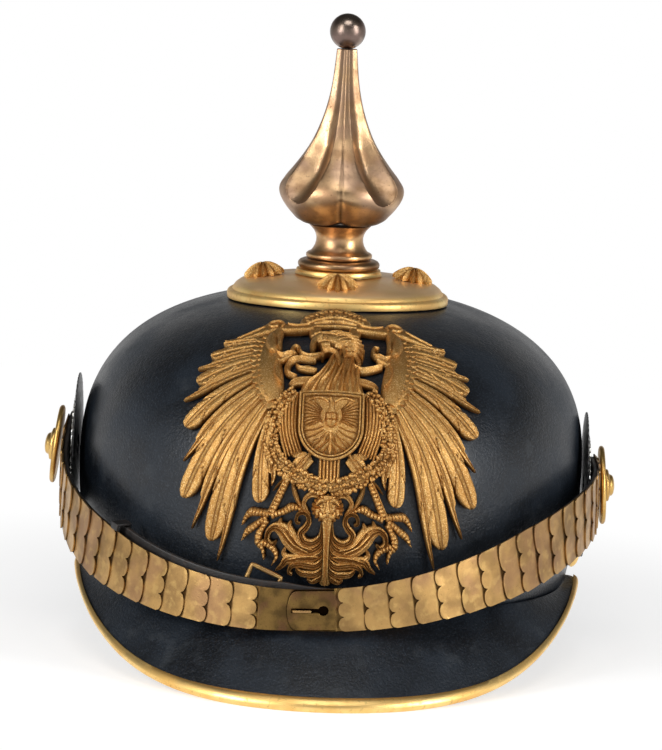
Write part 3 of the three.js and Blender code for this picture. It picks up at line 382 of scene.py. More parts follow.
# ---- Visor trim ---------------------------------------------------------------------------------
# A strip of gilt brass, folded into a channel over the front visor's edge and pressed tight. It is
# rubbed bright along the fold and keeps darker tone along its inner edge.
def satin_gold_finish(name, slot, light, dark, roughness, metallic=1.0, worn=None):
    """Brushed gilt brass: slow changes of tone, fine scratches, dull spots, and a worn area if any."""
    gold = Finish(name, slot, Metallic=metallic)
    cloud = gold.noise(14, 4)
    spots = gold.noise(1.6, 5).between(0.55, 0.72)
    streaks = gold.noise(0.9, 2, gold.stretched(0.12, 0.12, 1.0))
    tint = gold.blend(cloud.between(0.36, 0.66), light, dark)
    tint = gold.blend(spots * 0.35, tint, [v * 0.62 for v in dark])
    return gold.feed(
        Base_Color=gold.blend(worn(gold), tint, (236, 196, 144)) if worn else tint,
        Roughness=cloud.between(0.3, 0.7, roughness - 0.05, roughness + 0.08) + spots * 0.12,
        Normal=gold.grain(streaks * 0.5 + gold.noise(0.45, 3) * 0.5, 0.035),
    )


satin_gold = satin_gold_finish("Satin gilt brass", "satin_gold", (255, 216, 140), (236, 190, 112), 0.38)

# Each corner of the folded strip: how far out from the leather's edge, and how far above its middle.
TRIM_OUTLINE = np.array([
    (-4, 1.32), (-0.5, 1.3), (-0.5, -1.3), (-4, -1.32), (-4.25, -1.6), (-4, -1.86), (-2.6, -1.9),
    (-1.2, -1.86),
    (-0.3, -1.5), (0.3, -0.8), (0.5, 0), (0.3, 0.8), (-0.3, 1.5), (-1.2, 1.86), (-2.6, 1.92), (-4, 1.86),
    (-4.25, 1.6), (-4, 1.32)])


def trim_place(s, t):
    degrees = VISOR_END * (2 * s - 1)
    out, top = visor_directions(degrees, np.ones_like(s), FRONT)
    edge = visor_middle(degrees, np.ones_like(s), FRONT) + out * FRONT["inset"]
    outward, upward = TRIM_OUTLINE[np.rint(t * (len(TRIM_OUTLINE) - 1)).astype(int)].T
    return above_table(edge + out * outward[:, None] + top * upward[:, None])


def close_ends(piece):
    """Fills the open ends of a tube."""
    with editing(piece):
        bpy.ops.mesh.select_all(action="DESELECT")
        bpy.ops.mesh.select_mode(type="EDGE")
        bpy.ops.mesh.select_non_manifold(extend=False)
        bpy.ops.mesh.edge_face_add()
        bpy.ops.mesh.select_all(action="SELECT")
        bpy.ops.mesh.normals_make_consistent(inside=False)
        bpy.ops.mesh.select_mode(type="VERT")


visor_trim = draped("visor_trim_channel", 170, len(TRIM_OUTLINE) - 1, trim_place, closed=True)
close_ends(visor_trim)
dress(visor_trim, satin_gold, "visor_trim", angle=50)


# ---- Rear spine ---------------------------------------------------------------------------------
# A slightly crowned brass strip that covers the seam at the back, from under the base plate down on
# to the rear visor, where it is riveted.
SPINE_HALF = 5.5
SPINE_NOSE = 0.965
spine_heights = np.concatenate(
    (EQUATOR + DOME * np.sin(np.radians(np.linspace(63, 0, 40))), [50, 42, 34, 31]))
visor_reach = np.array([0.24, 0.34, 0.46, 0.6, 0.74, 0.88])
_, visor_top = visor_directions(np.zeros(6), visor_reach, REAR)
on_visor = visor_middle(np.zeros(6), visor_reach, REAR) + visor_top * VISOR_THICKNESS / 2
spine_line = np.concatenate((round_skull(0, spine_heights), on_visor))[:, 1:]


def lengths_along(spots):
    """Distance of each place from the first, along a line."""
    return np.concatenate(([0], np.cumsum(np.linalg.norm(np.diff(spots, axis=0), axis=1))))


def spine_place(s, t):
    lengths = lengths_along(spine_line)

    def on_line(where):
        return np.stack([np.interp(where, lengths, column) for column in spine_line.T], axis=-1)

    where = t * lengths[-1]
    y, z = on_line(where).T
    ahead_y, ahead_z = unit(on_line(where + 0.5) - on_line(where - 0.5)).T
    across = 2 * s - 1
    lift = 1.9 - 0.9 * across**4
    nose = np.sqrt(np.clip(1 - ramp(t, SPINE_NOSE) ** 2, 0.05, 1))
    return np.stack((across * SPINE_HALF * nose, -(y + ahead_z * lift), z - ahead_y * lift), axis=-1)


spine = draped("rear_spine_strip", 12, 150, spine_place)
thicken(spine, 1.1)
soften(spine, 0.25)
dress(spine, satin_gold, "rear_spine")


# ---- Base plate ---------------------------------------------------------------------------------
# A shallow dish of gilt brass with a rolled rim, spun on a lathe and bent down at its sides to sit on
# the skull. Its top has lost part of its gilding and shows a warmer, rosy brass.
PLATE_SEAT = 119.8
PLATE_FLAT = 30
PLATE_RADIUS = 39.5
# Corners of the dish's section: radius, and height over the plate's seat.
PLATE_SECTION = [
    (0, 7.3), (15, 7.1), (25, 6.2), (32.2, 4.9), (35.6, 2.9), (37.4, 1.1), (38.3, -1.05), (39.5, -1.05),
    (39.6, 0.8), (39.3, 1.4), (38.6, 1.8), (37.7, 2.0), (37.5, 2.7), (36.7, 3.8), (35.4, 4.8), (33.2, 5.7),
    (30, 6.4), (25, 7.0), (15, 7.9), (0, 8.1)]


def spun(name, section, steps, base=PLATE_SEAT):
    """A piece turned on a lathe about the helmet's middle line, from its closed section."""
    select_only()
    bpy.ops.mesh.primitive_circle_add(vertices=len(section), radius=1)
    piece = named(name)
    move_vertices(piece, lambda spots: np.array([(radius, 0, z + base) for radius, z in section]))
    with editing(piece):
        bpy.ops.mesh.spin(steps=steps, angle=2 * math.pi, center=(0, 0, 0), axis=(0, 0, 1))
    merge_and_turn_out(piece)
    return piece


def skull_height(x, y):
    scale = (np.abs(x / HALF_WIDTH) ** PLAN_POWER + np.abs(y / HALF_LENGTH) ** PLAN_POWER) ** (1 / PLAN_POWER)
    return EQUATOR + DOME * (1 - np.clip(scale, 0, 1) ** DOME_ROUNDING) ** (1 / DOME_POWER)


def bend_on_skull(spots):
    radius = np.hypot(spots[:, 0], spots[:, 1])
    share = ramp(radius, PLATE_FLAT, PLATE_RADIUS)
    sag = skull_height(spots[:, 0], spots[:, 1]) - skull_height(radius, 0)
    spots[:, 2] += sag * share * share * (3 - 2 * share)
    return spots


def worn_top(gold):
    """Share of the gilding that is lost: most on the top, less by the collar, none on the rolled rim."""
    radius = gold.distance(gold.stretched(1, 1, 0))
    worn = radius.between(37.4, 36.4) * gold.noise(7, 4).between(0.25, 0.6, 0.55, 1.0)
    return worn * radius.between(15.2, 17.5, 0.35, 1.0)


base_plate = spun("base_plate_dish", PLATE_SECTION, 144)
move_vertices(base_plate, bend_on_skull)
soften(base_plate, 0.12, 2, 40)
plate_gold = satin_gold_finish(
    "Base plate brass", "satin_gold", (246, 210, 134), (228, 182, 110), 0.36, 0.75, worn_top)
dress(base_plate, plate_gold, "base_plate")


# ---- Star studs ---------------------------------------------------------------------------------
# Four cast studs hold the base plate to the skull. Each is a small domed star of twelve creased rays.
STAR_RAYS = 12
STAR_OUTER = 7.2
STAR_INNER = 4.6
STAR_TILT = 9
STAR_CIRCLE = 26.5
STAR_SEAT = 7.6
STAR_TOP = 0.72
STAR_WALL = 0.86


def turned(spots, degrees):
    """Places turned about the helmet's middle line."""
    turn = math.radians(degrees)
    x = spots[:, 0] * math.cos(turn) - spots[:, 1] * math.sin(turn)
    y = spots[:, 0] * math.sin(turn) + spots[:, 1] * math.cos(turn)
    return np.stack((x, y, spots[:, 2]), axis=-1)


def star_place(s, t):
    """The star's domed top, then its wall, then its flat underside."""
    ray = np.abs((s * STAR_RAYS) % 1 - 0.5) * 2
    top = ramp(t, 0, STAR_TOP)
    share = np.where(t < STAR_TOP, top, 1 - ramp(t, STAR_WALL))
    radius = (STAR_INNER + (STAR_OUTER - STAR_INNER) * ray) * share
    crease = 1.2 * (ray - 0.5) * np.sin(np.pi / 2 * ramp(top, 0, 0.75)) * (1.15 - 0.6 * top)
    dome = 0.7 + 3.2 * (1 - top**1.8) + crease - 0.5 * ray * top**4
    edge = 0.7 + 0.66 * (ray - 0.5) - 0.5 * ray
    wall = ramp(t, STAR_TOP, STAR_WALL)
    z = np.where(t < STAR_TOP, dome, edge * (1 - wall) - 0.9 * wall)
    x = radius * np.cos(2 * np.pi * s)
    tilt = math.radians(STAR_TILT)
    across = x * math.cos(tilt) + z * math.sin(tilt) + STAR_CIRCLE
    upward = z * math.cos(tilt) - x * math.sin(tilt) + PLATE_SEAT + STAR_SEAT
    return np.stack((across, radius * np.sin(2 * np.pi * s), upward), axis=-1)


def gilt_finish():
    """Fire gilding left matt: even fine frost, light specks painted as sparkle, warm yellow on the heights,
    and brown where the tone is high, partly patina and partly painted shade.
    """
    gilt = Finish("Frosted gilding", "gilt", Metallic=1.0)
    hollow = gilt.tone()
    frost = gilt.noise(0.3, 2)
    cloud = gilt.noise(11, 4)
    sparkle = gilt.noise(0.42, 1)
    return gilt.feed(
        Base_Color=gilt.coats(
            gilt.blend(cloud.between(0.35, 0.65), (198, 153, 90), (178, 132, 74)),
            (frost.between(0.42, 0.6) * 0.55, (150, 104, 56)),
            (sparkle.between(0.52, 0.68) * 0.6, (240, 208, 148)),
            # Brown by the tone attribute: partly patina, partly painted shade in the hollows and at the feet
            # of the raised work.
            (hollow.between(0.3, 1.0) * 0.92, (98, 60, 28)),
        ),
        Roughness=cloud.between(0.3, 0.7, 0.42, 0.52) + hollow * 0.12,
        Normal=gilt.grain(frost + sparkle * 0.8, 0.14),
    )


def copied(piece, name):
    """A copy of a piece with a mesh of its own."""
    copy = piece.copy()
    copy.data = piece.data.copy()
    copy.name = copy.data.name = name
    bpy.context.collection.objects.link(copy)
    return copy


gilt = gilt_finish()
star_pattern = draped("star_pattern", 8 * STAR_RAYS, 26, star_place, closed=True)
write_tone(star_pattern)
for star_name, heading in (("front", -90), ("right", 0), ("rear", 90), ("left", 180)):
    star = copied(star_pattern, f"star_cast_{star_name}")
    move_vertices(star, lambda spots: turned(spots, heading))
    dress(star, gilt, f"star_stud_{star_name}", angle=30)
bpy.data.objects.remove(star_pattern)


# ---- Spike collar and neck ----------------------------------------------------------------------
# The spike stands on a turned gilt collar. Above it come a round moulding and a waisted neck, turned
# from one brass rod that has toned brown. Each section's corners are a radius and a height.
COLLAR_SECTION = [(0, 8.4), (15.7, 8.4), (15.3, 8.8), (15, 9.5), (15.1, 10), (14.7, 10.25), (0, 10.25)]
MOULDING_SECTION = [
    (0, 10.4), (13.3, 10.4), (14, 10.7), (14.5, 11.2), (14.65, 11.9), (14.5, 12.5), (14, 13.1), (13.1, 13.5),
    (12.2, 13.7), (0, 13.9)]
NECK_SECTION = [
    (0, 14.1), (11.4, 14.1), (11.8, 14.6), (11.8, 15.5), (11.3, 16), (10.2, 16.5), (9.5, 17.4), (8.8, 18.7),
    (8.4, 20.2), (8.35, 21.4), (8.7, 22.8), (9.4, 24.1), (10.4, 25.2), (11.2, 26), (0, 26)]


def toned_brass_finish(name, slot, light, dark, rose, roughness):
    """Old brass: rubbed golden on the heights, brown where the tone attribute is high, partly patina and
    partly painted shade, with a rosy bloom and fine pits.
    """
    brass = Finish(name, slot, Metallic=1.0)
    cloud = brass.noise(6, 5)
    bloom = brass.noise(13, 3).between(0.42, 0.62)
    pits = brass.noise(0.7, 4).between(0.6, 0.74)
    # Darkened by the tone attribute: patina, and painted shade where the pieces mark it.
    hollow = (brass.tone() * 0.8, [v * 0.55 for v in dark])
    tint = brass.blend(cloud.between(0.36, 0.64), light, dark)
    return brass.feed(
        Base_Color=brass.coats(tint, (bloom * 0.55, rose), hollow, (pits * 0.35, (70, 52, 40))),
        Roughness=cloud.between(0.3, 0.7, roughness - 0.05, roughness + 0.08) + pits * 0.15,
        Normal=brass.grain(brass.noise(0.6, 4) - pits * 0.4, 0.05),
    )


toned_brass = toned_brass_finish(
    "Toned brass", "toned_brass", (214, 172, 122), (172, 132, 94), (184, 146, 120), 0.33)
collar = spun("spike_collar_ring", COLLAR_SECTION, 120)
soften(collar, 0.15, 2, 40)
dress(collar, satin_gold, "spike_collar")
moulding = spun("spike_collar_moulding", MOULDING_SECTION, 120)
write_tone(moulding, 0.45)
dress(moulding, toned_brass, "spike_collar", angle=50)
neck = spun("spike_neck_waist", NECK_SECTION, 120)
write_tone(neck)
dress(neck, toned_brass, "spike_neck", angle=50)


# ---- Fluted spike -------------------------------------------------------------------------------
# A hollow onion-shaped spike in four swelling lobes, drawn up to a slim stem. Each lobe has one deep
# flute, round at its foot and open at the top; a seam runs down every ridge to a crease underneath.
SPIKE_LOBES = 4
FLUTE_FOOT = 34.6
FLUTE_LINES = 0.75
# Rows up the spike: height over the plate's seat, and radius on the ridges.
SPIKE_ROWS = np.array([
    (26.2, 10.2), (26.7, 13.4), (27.6, 15.6), (29.6, 17.9), (32, 20), (34.4, 21.5), (37, 22.3), (39.6, 22),
    (42.6, 20.4), (46.6, 17.3), (51, 14.1), (56, 11.1), (62, 8.5), (69, 6.3), (76, 4.9), (83, 4.1),
    (88.8, 3.6)])
SPIKE_FOOT, SPIKE_TOP = SPIKE_ROWS[0, 0], SPIKE_ROWS[-1, 0]
SPIKE_END = 0.04


def smooth_rows(knots, values, where):
    """A smooth curve through a table's rows."""
    slopes = np.gradient(values, knots, axis=0)
    i = np.clip(np.searchsorted(knots, where, side="right") - 1, 0, len(knots) - 2)
    span = (knots[1:] - knots[:-1])[i]
    x = ramp(where, knots[i], knots[i + 1])
    shape = (...,) + (None,) * (values.ndim - 1)
    x, span = x[shape], span[shape]
    rise = x * x * (3 - 2 * x)
    bend = values[i] * (1 - rise) + values[i + 1] * rise
    return bend + span * x * (1 - x) * (slopes[i] * (1 - x) - slopes[i + 1] * x)


def flute_half(z):
    """Half of a flute's width, as a share of its lobe."""
    foot = ramp(z, FLUTE_FOOT, FLUTE_FOOT + 7)
    wider = 0.2 * ramp(z, 38, 50) + 0.05 * ramp(z, 50, 80)
    return 0.42 * np.sqrt(np.clip(1 - (1 - foot) ** 2, 0, 1)) + wider


def lobe_place(s, z):
    """Place across a lobe, -1 and 1 on the ridges; the mesh's lines follow the flute's rim."""
    even = ((s * SPIKE_LOBES + 0.5) % 1 - 0.5) * 2
    rim = np.maximum(flute_half(z), 0.25)
    inner = np.abs(even) / FLUTE_LINES * rim
    outer = rim + (np.abs(even) - FLUTE_LINES) / (1 - FLUTE_LINES) * (1 - rim)
    return np.sign(even) * np.where(np.abs(even) < FLUTE_LINES, inner, outer)


def spike_shape(s, z):
    """Radius of the spike and how deep the flute is there, from 0 to 1."""
    radius = smooth_rows(SPIKE_ROWS[:, 0], SPIKE_ROWS[:, 1], z)
    across = lobe_place(s, z)
    half = flute_half(z)
    inside = np.clip(1 - (across / np.maximum(half, 1e-3)) ** 2, 0, 1) * (half > 0.02)
    scoop = np.sin(np.pi / 2 * ramp(z, FLUTE_FOOT, FLUTE_FOOT + 11)) ** 0.75
    cut = 0.36 * np.clip(radius / 12, 0.75, 1) * scoop * inside
    ridge = 1 - np.abs(across)
    seam = 0.018 * np.exp(-((ridge / 0.025) ** 2)) * ramp(z, 30, 38)
    crease = 0.04 * np.exp(-ridge / 0.06) * ramp(z, 38, 30)
    return radius * (1 - cut - seam - crease), inside


def spike_level(t):
    return SPIKE_FOOT + (SPIKE_TOP - SPIKE_FOOT) * ramp(t, SPIKE_END, 1 - SPIKE_END) ** 1.2


def spike_place(s, t):
    level = spike_level(t)
    radius, _ = spike_shape(s, level)
    radius = radius * ramp(t, 0, SPIKE_END) * ramp(t, 1, 1 - SPIKE_END)
    across = lobe_place(s, level)
    turn = (np.floor(s * SPIKE_LOBES + 0.5) + across / 2 + 0.5) * 2 * np.pi / SPIKE_LOBES
    z = level + 1.6 * np.abs(across) ** 3 * ramp(level, 42, 33)
    return np.stack((radius * np.cos(turn), radius * np.sin(turn), z + PLATE_SEAT), axis=-1)


# The spike's tone: painted shade on the bulb's underside and in a dark line just inside each flute's rim, a
# dark seam down each ridge, and darker towards the top.
def spike_tone(s, t):
    level = spike_level(t)
    _, inside = spike_shape(s, level)
    # Painted shade: a dark line just inside the flute's rim.
    outline = np.exp(-((inside - 0.06) / 0.08) ** 2) * (inside > 0)
    seam = np.exp(-(((1 - np.abs(lobe_place(s, level))) / 0.03) ** 2))
    tone = 0.85 * ramp(level, 31.5, 26.5) + 0.7 * outline + 0.7 * seam + 0.35 * ramp(level, 52, 72)
    return np.clip(tone, 0, 1)


spike = draped("fluted_spike_onion", 416, 190, spike_place, spike_tone, closed=True)
spike_brass = toned_brass_finish(
    "Spike brass", "toned_brass", (200, 164, 124), (162, 128, 96), (176, 146, 126), 0.38)
dress(spike, spike_brass, "fluted_spike", angle=50)


# ---- Spike ball ---------------------------------------------------------------------------------
# A plain turned ball closes the spike. It sits on a small flat foot and has tarnished grey-brown.
BALL_RADIUS = 6.35
BALL_CENTRE = PLATE_SEAT + 95
BALL_FOOT = PLATE_SEAT + SPIKE_TOP + 0.15
select_only()
bpy.ops.mesh.primitive_uv_sphere_add(
    segments=72, ring_count=40, radius=BALL_RADIUS * MM, location=(0, 0, BALL_CENTRE * MM))
bpy.ops.object.transform_apply(location=True, rotation=True, scale=True)
ball = named("spike_ball_turned")
with editing(ball):
    bpy.ops.mesh.bisect(plane_co=(0, 0, BALL_FOOT * MM), plane_no=(0, 0, 1), use_fill=True, clear_inner=True)
soften(ball, 0.25, 3, 50)
write_tone(ball)
tarnish = toned_brass_finish(
    "Tarnished silver plate", "tarnished_silver", (150, 134, 122), (112, 98, 88), (142, 118, 112), 0.27)
dress(ball, tarnish, "spike_ball", angle=50)


# ---- Eagle plate --------------------------------------------------------------------------------
# One pierced casting in frosted gilt brass: a crowned eagle with spread wings, a chain round its
# shield, and a tail of scrolling leaves. It is curved to the skull and stands just off the leather.
# It is drawn flat, u to the viewer's right and w up from the tail, and each point goes on the skull.
EAGLE_LEAN = math.radians(37)
EAGLE_FOOT = np.array([0, -107, 37])
EAGLE_RIGHT = np.array([1, 0, 0])
EAGLE_UP = np.array([0, math.sin(EAGLE_LEAN), math.cos(EAGLE_LEAN)])
EAGLE_OUT = np.array([0, -math.cos(EAGLE_LEAN), math.sin(EAGLE_LEAN)])
DRAWN_FROM = math.radians(8.5)
DRAWN_VIEW = np.array([0, -math.cos(DRAWN_FROM), math.sin(DRAWN_FROM)])
MEAN_LIFT = 2.4
SEARCH_FROM = -20
SEARCH_LENGTH = 60.0
SEARCH_STEPS = 22
NORMAL_STEP = 0.05


def skull_field(spots):
    """Less than 0 inside the skull and more outside."""
    scale = np.maximum(plan_scale(spots[..., 2]), 1e-4)
    side = (np.abs(spots[..., 0]) / (HALF_WIDTH * scale)) ** PLAN_POWER
    return side + (np.abs(spots[..., 1]) / (HALF_LENGTH * scale)) ** PLAN_POWER - 1


def on_skull(u, w, lift):
    """Places of the plate's drawing over the skull. The mean lift goes along the view that it is drawn
    from, and the rest along the leather's normal."""
    start = EAGLE_FOOT + u[..., None] * EAGLE_RIGHT + w[..., None] * EAGLE_UP + SEARCH_FROM * EAGLE_OUT
    near = np.zeros(u.shape)
    far = np.full(u.shape, SEARCH_LENGTH)
    for _ in range(SEARCH_STEPS):
        middle = (near + far) / 2
        inside = skull_field(start + middle[..., None] * EAGLE_OUT) < 0
        near = np.where(inside, middle, near)
        far = np.where(inside, far, middle)
    spots = start + near[..., None] * EAGLE_OUT
    steps = NORMAL_STEP * np.eye(3)
    slopes = [skull_field(spots + step) - skull_field(spots - step) for step in steps]
    normal = unit(np.stack(slopes, axis=-1))
    facing = (normal * DRAWN_VIEW).sum(axis=-1, keepdims=True)
    return spots + DRAWN_VIEW * MEAN_LIFT / facing + normal * (lift - MEAN_LIFT)[..., None]


def drawn_line(points, rows):
    """A smooth line through control points, each a place and a half width."""
    points = np.array(points, dtype=float)
    knots = lengths_along(points[:, :2])
    return smooth_rows(knots, points, np.linspace(0, knots[-1], rows))


# A knob's rings from its foot up: share of its radius, share of its height, and tone, which is painted shade
# darkest at the foot.
KNOB_RINGS = np.array(
    [(1.0, 0.0, 1.0), (0.95, 0.45, 0.7), (0.75, 0.78, 0.25), (0.42, 0.95, 0), (0.05, 1.0, 0)])


class Casting:
    """Gathers raised bodies into one mesh; each is a closed strip with its own section and hollows."""

    def __init__(self):
        self.spots = []
        self.faces = []
        self.tones = []
        self.count = 0

    def strip(self, u, w, left, right, section, base=0.9, columns=10):
        """A raised strip along a line; section(s, t, length) gives its height and its tone, which darkens its
        hollows as patina and painted shade.
        """
        rows = len(u)
        s = -np.cos(np.linspace(0, np.pi, columns + 1))
        along = unit(np.stack((np.gradient(u), np.gradient(w)), axis=-1))
        offset = s * np.where(s < 0, left[:, None], right[:, None])
        top_u = u[:, None] + along[:, 1:] * offset
        top_w = w[:, None] - along[:, :1] * offset
        length = lengths_along(np.stack((u, w), axis=-1))
        shares = np.broadcast_arrays(s, np.linspace(0, 1, rows)[:, None], length[:, None])
        lift, tone = section(*shares)
        under = [columns, columns // 2, 0]
        all_u = np.concatenate((top_u, top_u[:, under]), axis=1)
        all_w = np.concatenate((top_w, top_w[:, under]), axis=1)
        # The strip's foot takes tone 1: painted shade where the casting meets the leather.
        all_lift = np.concatenate((lift, np.full((rows, 3), base)), axis=1)
        self.loft(on_skull(all_u, all_w, all_lift), np.concatenate((tone, np.ones((rows, 3))), axis=1))

    def loft(self, rings, tones):
        """Joins rings of places, one after another, and closes both ends."""
        rows, size = rings.shape[:2]
        corner = self.count + np.arange(rows * size).reshape(rows, size)
        after = np.roll(corner, -1, axis=1)
        quads = np.stack((corner[:-1], after[:-1], after[1:], corner[1:]), axis=-1).reshape(-1, 4)
        self.faces += [*quads.tolist(), corner[0, ::-1].tolist(), corner[-1].tolist()]
        self.spots.append(rings.reshape(-1, 3))
        self.tones.append(tones.ravel())
        self.count += rows * size

    def knob(self, u, w, radius, height, base=1.0, around=10, stretch=1.0, turn=0.0):
        """A small dome."""
        angle = np.linspace(0, 2 * np.pi, around, endpoint=False)
        rings, heights, shade = KNOB_RINGS.T[..., None]
        x = np.cos(angle) * rings * radius * stretch
        y = np.sin(angle) * rings * radius
        knob_u = u + x * math.cos(turn) - y * math.sin(turn)
        knob_w = w + x * math.sin(turn) + y * math.cos(turn)
        lift, shade = (np.broadcast_to(v, x.shape) for v in (heights * height + base, shade))
        self.loft(on_skull(knob_u, knob_w, lift), shade)

    def mesh(self, name):
        data = bpy.data.meshes.new(name)
        data.from_pydata((np.concatenate(self.spots) * MM).tolist(), [], self.faces)
        piece = bpy.data.objects.new(name, data)
        bpy.context.collection.objects.link(piece)
        write_tone(piece, np.concatenate(self.tones))
        merge_and_turn_out(piece, 0.0001)
        return piece


eagle = Casting()


def rounded_edge(s, sharpness=5):
    return np.sqrt(np.clip(1 - np.abs(s) ** sharpness, 0, 1))


def groove(s, centre, width):
    return np.exp(-(((s - centre) / width) ** 2))


def feather_section(base, height, clefts):
    """Section of a wing feather: a thin double line for its quill, rolled edges, and cut barbs."""

    def section(s, t, length):
        edge = rounded_edge(s, 10)
        quill = groove(s, 0.17, 0.075) + groove(s, -0.17, 0.075)
        cut = 0
        for where, flank in clefts:
            line = (t - where) * 7 + (1 - np.abs(s)) * 1.5
            cut = cut + groove(line, 0, 0.13) * (s * flank > 0.24) * np.clip(np.abs(s) * 2.2 - 0.3, 0, 1)
        barbs = 0.5 + 0.5 * np.sin(2 * np.pi * (length - np.abs(s) * 4.2) / 1.7)
        dish = 0.22 * np.sin(np.pi * np.abs(s)) ** 2 + 0.1 * barbs * (np.abs(s) > 0.25)
        tip = ramp(t, 1, 0.96) ** 0.5
        lift = base + height * edge * (0.55 + 0.45 * tip) - 0.42 * quill - dish - 0.6 * cut
        # Tone: painted shade in the quill's lines, the cuts and along the edges, partly patina.
        tone = np.clip(quill + 1.1 * cut + (1 - edge) * 1.1 - 0.1 + 0.5 * dish, 0, 1)
        return np.maximum(lift, base), tone

    return section


# Wing feathers of one side, from the top down: broad blades with round ends between narrow quills.
# Columns: kind, root u and w, tip u and w, half width, and how far it bows.
FEATHERS = [
    ("blade", 20, 84.4, 37.8, 83.4, 1.5, 0.2),
    ("blade", 20.6, 81, 41.8, 77.2, 2.3, 0.6),
    ("quill", 21, 78, 46, 71.5, 1.8, 0.8),
    ("blade", 21.3, 74.5, 45.9, 65.2, 2.9, 1.1),
    ("quill", 21.6, 71, 50, 58.2, 1.8, 1.4),
    ("blade", 21.9, 67, 48.9, 48.2, 3.3, 1.8),
    ("quill", 22.2, 63, 48.8, 36.6, 1.9, 2.1),
    ("blade", 22.4, 59.5, 48.4, 26.4, 3.7, 2.4),
    ("quill", 22.3, 56, 45, 17, 1.9, 2.5),
    ("blade", 22, 53, 38.5, 12.7, 3.7, 2.4),
    ("quill", 21.4, 50, 35.8, 7, 1.9, 2.0),
    ("blade", 20.4, 47, 22.5, 20.8, 2.9, 1.2),
    ("quill", 19.2, 45, 18.2, 25.2, 1.9, 0.8),
]


def wing_feather(side, kind, root_u, root_w, tip_u, tip_w, half, bow):
    t = np.linspace(0, 1, 96 if kind == "blade" else 60)
    if kind == "blade":
        t = 1 - (1 - t) ** 1.25
        swell = 0.5 + 0.5 * np.sin(ramp(t, 0, 0.82) * np.pi / 2) ** 1.4
        left = right = half * swell * np.sqrt(np.clip(1 - ramp(t, 0.87) ** 2.1, 0.004, 1))
        bend = bow * np.sin(np.pi * t)
        section = feather_section(1.2, 2.2, ((0.5, side), (0.66, -side), (0.8, side)))
    else:
        swell = 0.62 + 0.38 * np.sin(ramp(t, 0, 0.7) * np.pi / 2)
        right = half * swell * np.clip(ramp(t, 1, 0.7) ** 0.75, 0.05, 1)
        left = right * np.where(t > 0.8, 0.45, 1.0)
        bend = bow * np.sin(np.pi * t) + ramp(t, 0.8) ** 2
        section = feather_section(1.15, 1.8, ((0.72, side),))
    along = np.array([tip_u - root_u, tip_w - root_w])
    across_u, across_w = np.array([-along[1], along[0]]) / np.linalg.norm(along)
    u = root_u + along[0] * t + across_u * bend
    w = root_w + along[1] * t + across_w * bend
    flanks = (left, right) if side > 0 else (right, left)
    eagle.strip(side * u, w, *flanks, section, base=0.8, columns=16)


for side in (-1, 1):
    for feather in FEATHERS:
        wing_feather(side, *feather)


def stroke_section(kind, base, crest):
    """Heights across one kind of stroke: round, ridged, lipped leaf, strands, beads, or nearly flat."""

    def section(s, t, length):
        edge = rounded_edge(s)
        bow = np.sqrt(np.clip(1 - (0.97 * s) ** 2, 0, 1))
        # Each kind's tone darkens its low sides and grooves: painted shade, partly patina.
        if kind == "round":
            level = bow
            tone = 1 - level * 1.3
        elif kind == "ridged":
            level = (1 - 0.62 * np.abs(s)) * edge
            tone = np.abs(s) ** 3 * 0.9
        elif kind == "leaf":
            vein = groove(s, 0.05, 0.12) * 0.4 + groove(np.abs(s), 0.5, 0.12) * 0.25
            level = (0.5 + 0.5 * np.abs(s) ** 2.6 + vein) * edge
            tone = 0.8 * (1 - np.abs(s)) ** 0.7 - 0.8 * vein + (1 - edge)
        elif kind == "swell":
            level = np.cos(np.abs(s) * np.pi / 2) ** 0.5
            tone = 0 * s
        elif kind == "strands":
            lines = 0.5 + 0.5 * np.cos(2 * np.pi * 1.5 * s)
            level = (0.74 + 0.26 * lines) * np.sqrt(np.clip(1 - 0.5 * s * s, 0, 1)) * edge
            tone = 0.45 * (1 - lines) ** 2 + (1 - edge)
        elif kind == "beads":
            bead = np.abs(np.sin(np.pi * length / 1.15)) ** 0.7
            level = bow * (0.7 + 0.3 * bead)
            tone = 1.1 - level * 1.3 + 0.4 * (1 - bead)
        else:
            ripple = 0.05 * np.sin(length * 2.6 + 4 * s) * np.cos(5 * s + length * 0.8)
            level = (0.84 + 0.16 * np.abs(s) ** 3 + ripple) * edge
            tone = (1 - edge) + 4 * np.clip(-ripple, 0, 1)
        return base + crest * np.clip(level, 0, 1.1), np.clip(tone, 0, 1)

    return section


def stroke(kind, base, crest, rows, columns, *points, side=1, under=0.75):
    """A raised line of one kind through control points, each a u, a w and a half width."""
    line = drawn_line(points, rows)
    half = np.maximum(line[:, 2], 0.15)
    half[[0, -1]] *= 0.6
    eagle.strip(side * line[:, 0], line[:, 1], half, half, stroke_section(kind, base, crest), under, columns)


def both(draw, *row):
    """Draws a line on both sides of the eagle's middle."""
    for side in (-1, 1):
        draw(*row, side=side)


def short_feather(tip_u, tip_w, root_u, root_w, half, base):
    """A small round-ended feather of the kind that lies in rows over the roots of the long ones."""
    t = np.linspace(0, 1, 14) ** 0.8
    wide = half * np.sqrt(np.clip(1 - ramp(t, 0.5) ** 2.2, 0.01, 1)) * (0.75 + 0.25 * t)

    def section(s, t, length):
        edge = rounded_edge(s)
        # Tone: painted shade along the middle line and the edges.
        tone = np.clip(0.3 * groove(s, 0, 0.12) + (1 - edge) * 0.9, 0, 1)
        return base + 0.75 * edge * (0.25 + 0.75 * t), tone

    eagle.strip(root_u + (tip_u - root_u) * t, root_w + (tip_w - root_w) * t, wide, wide, section, 0.9, 8)


# The wing's shoulder: one smooth grainy sheet over the feathers' roots, edged with small scallops.
SHOULDER = [
    (19.0, 90.0, 1.6), (21.0, 85.6, 3.2), (22.2, 79.0, 4.4), (22.8, 72.0, 5.2), (22.4, 65.0, 5.6),
    (21.4, 58.6, 5.2), (19.6, 53.4, 3.4)]
SCALLOPS = 14
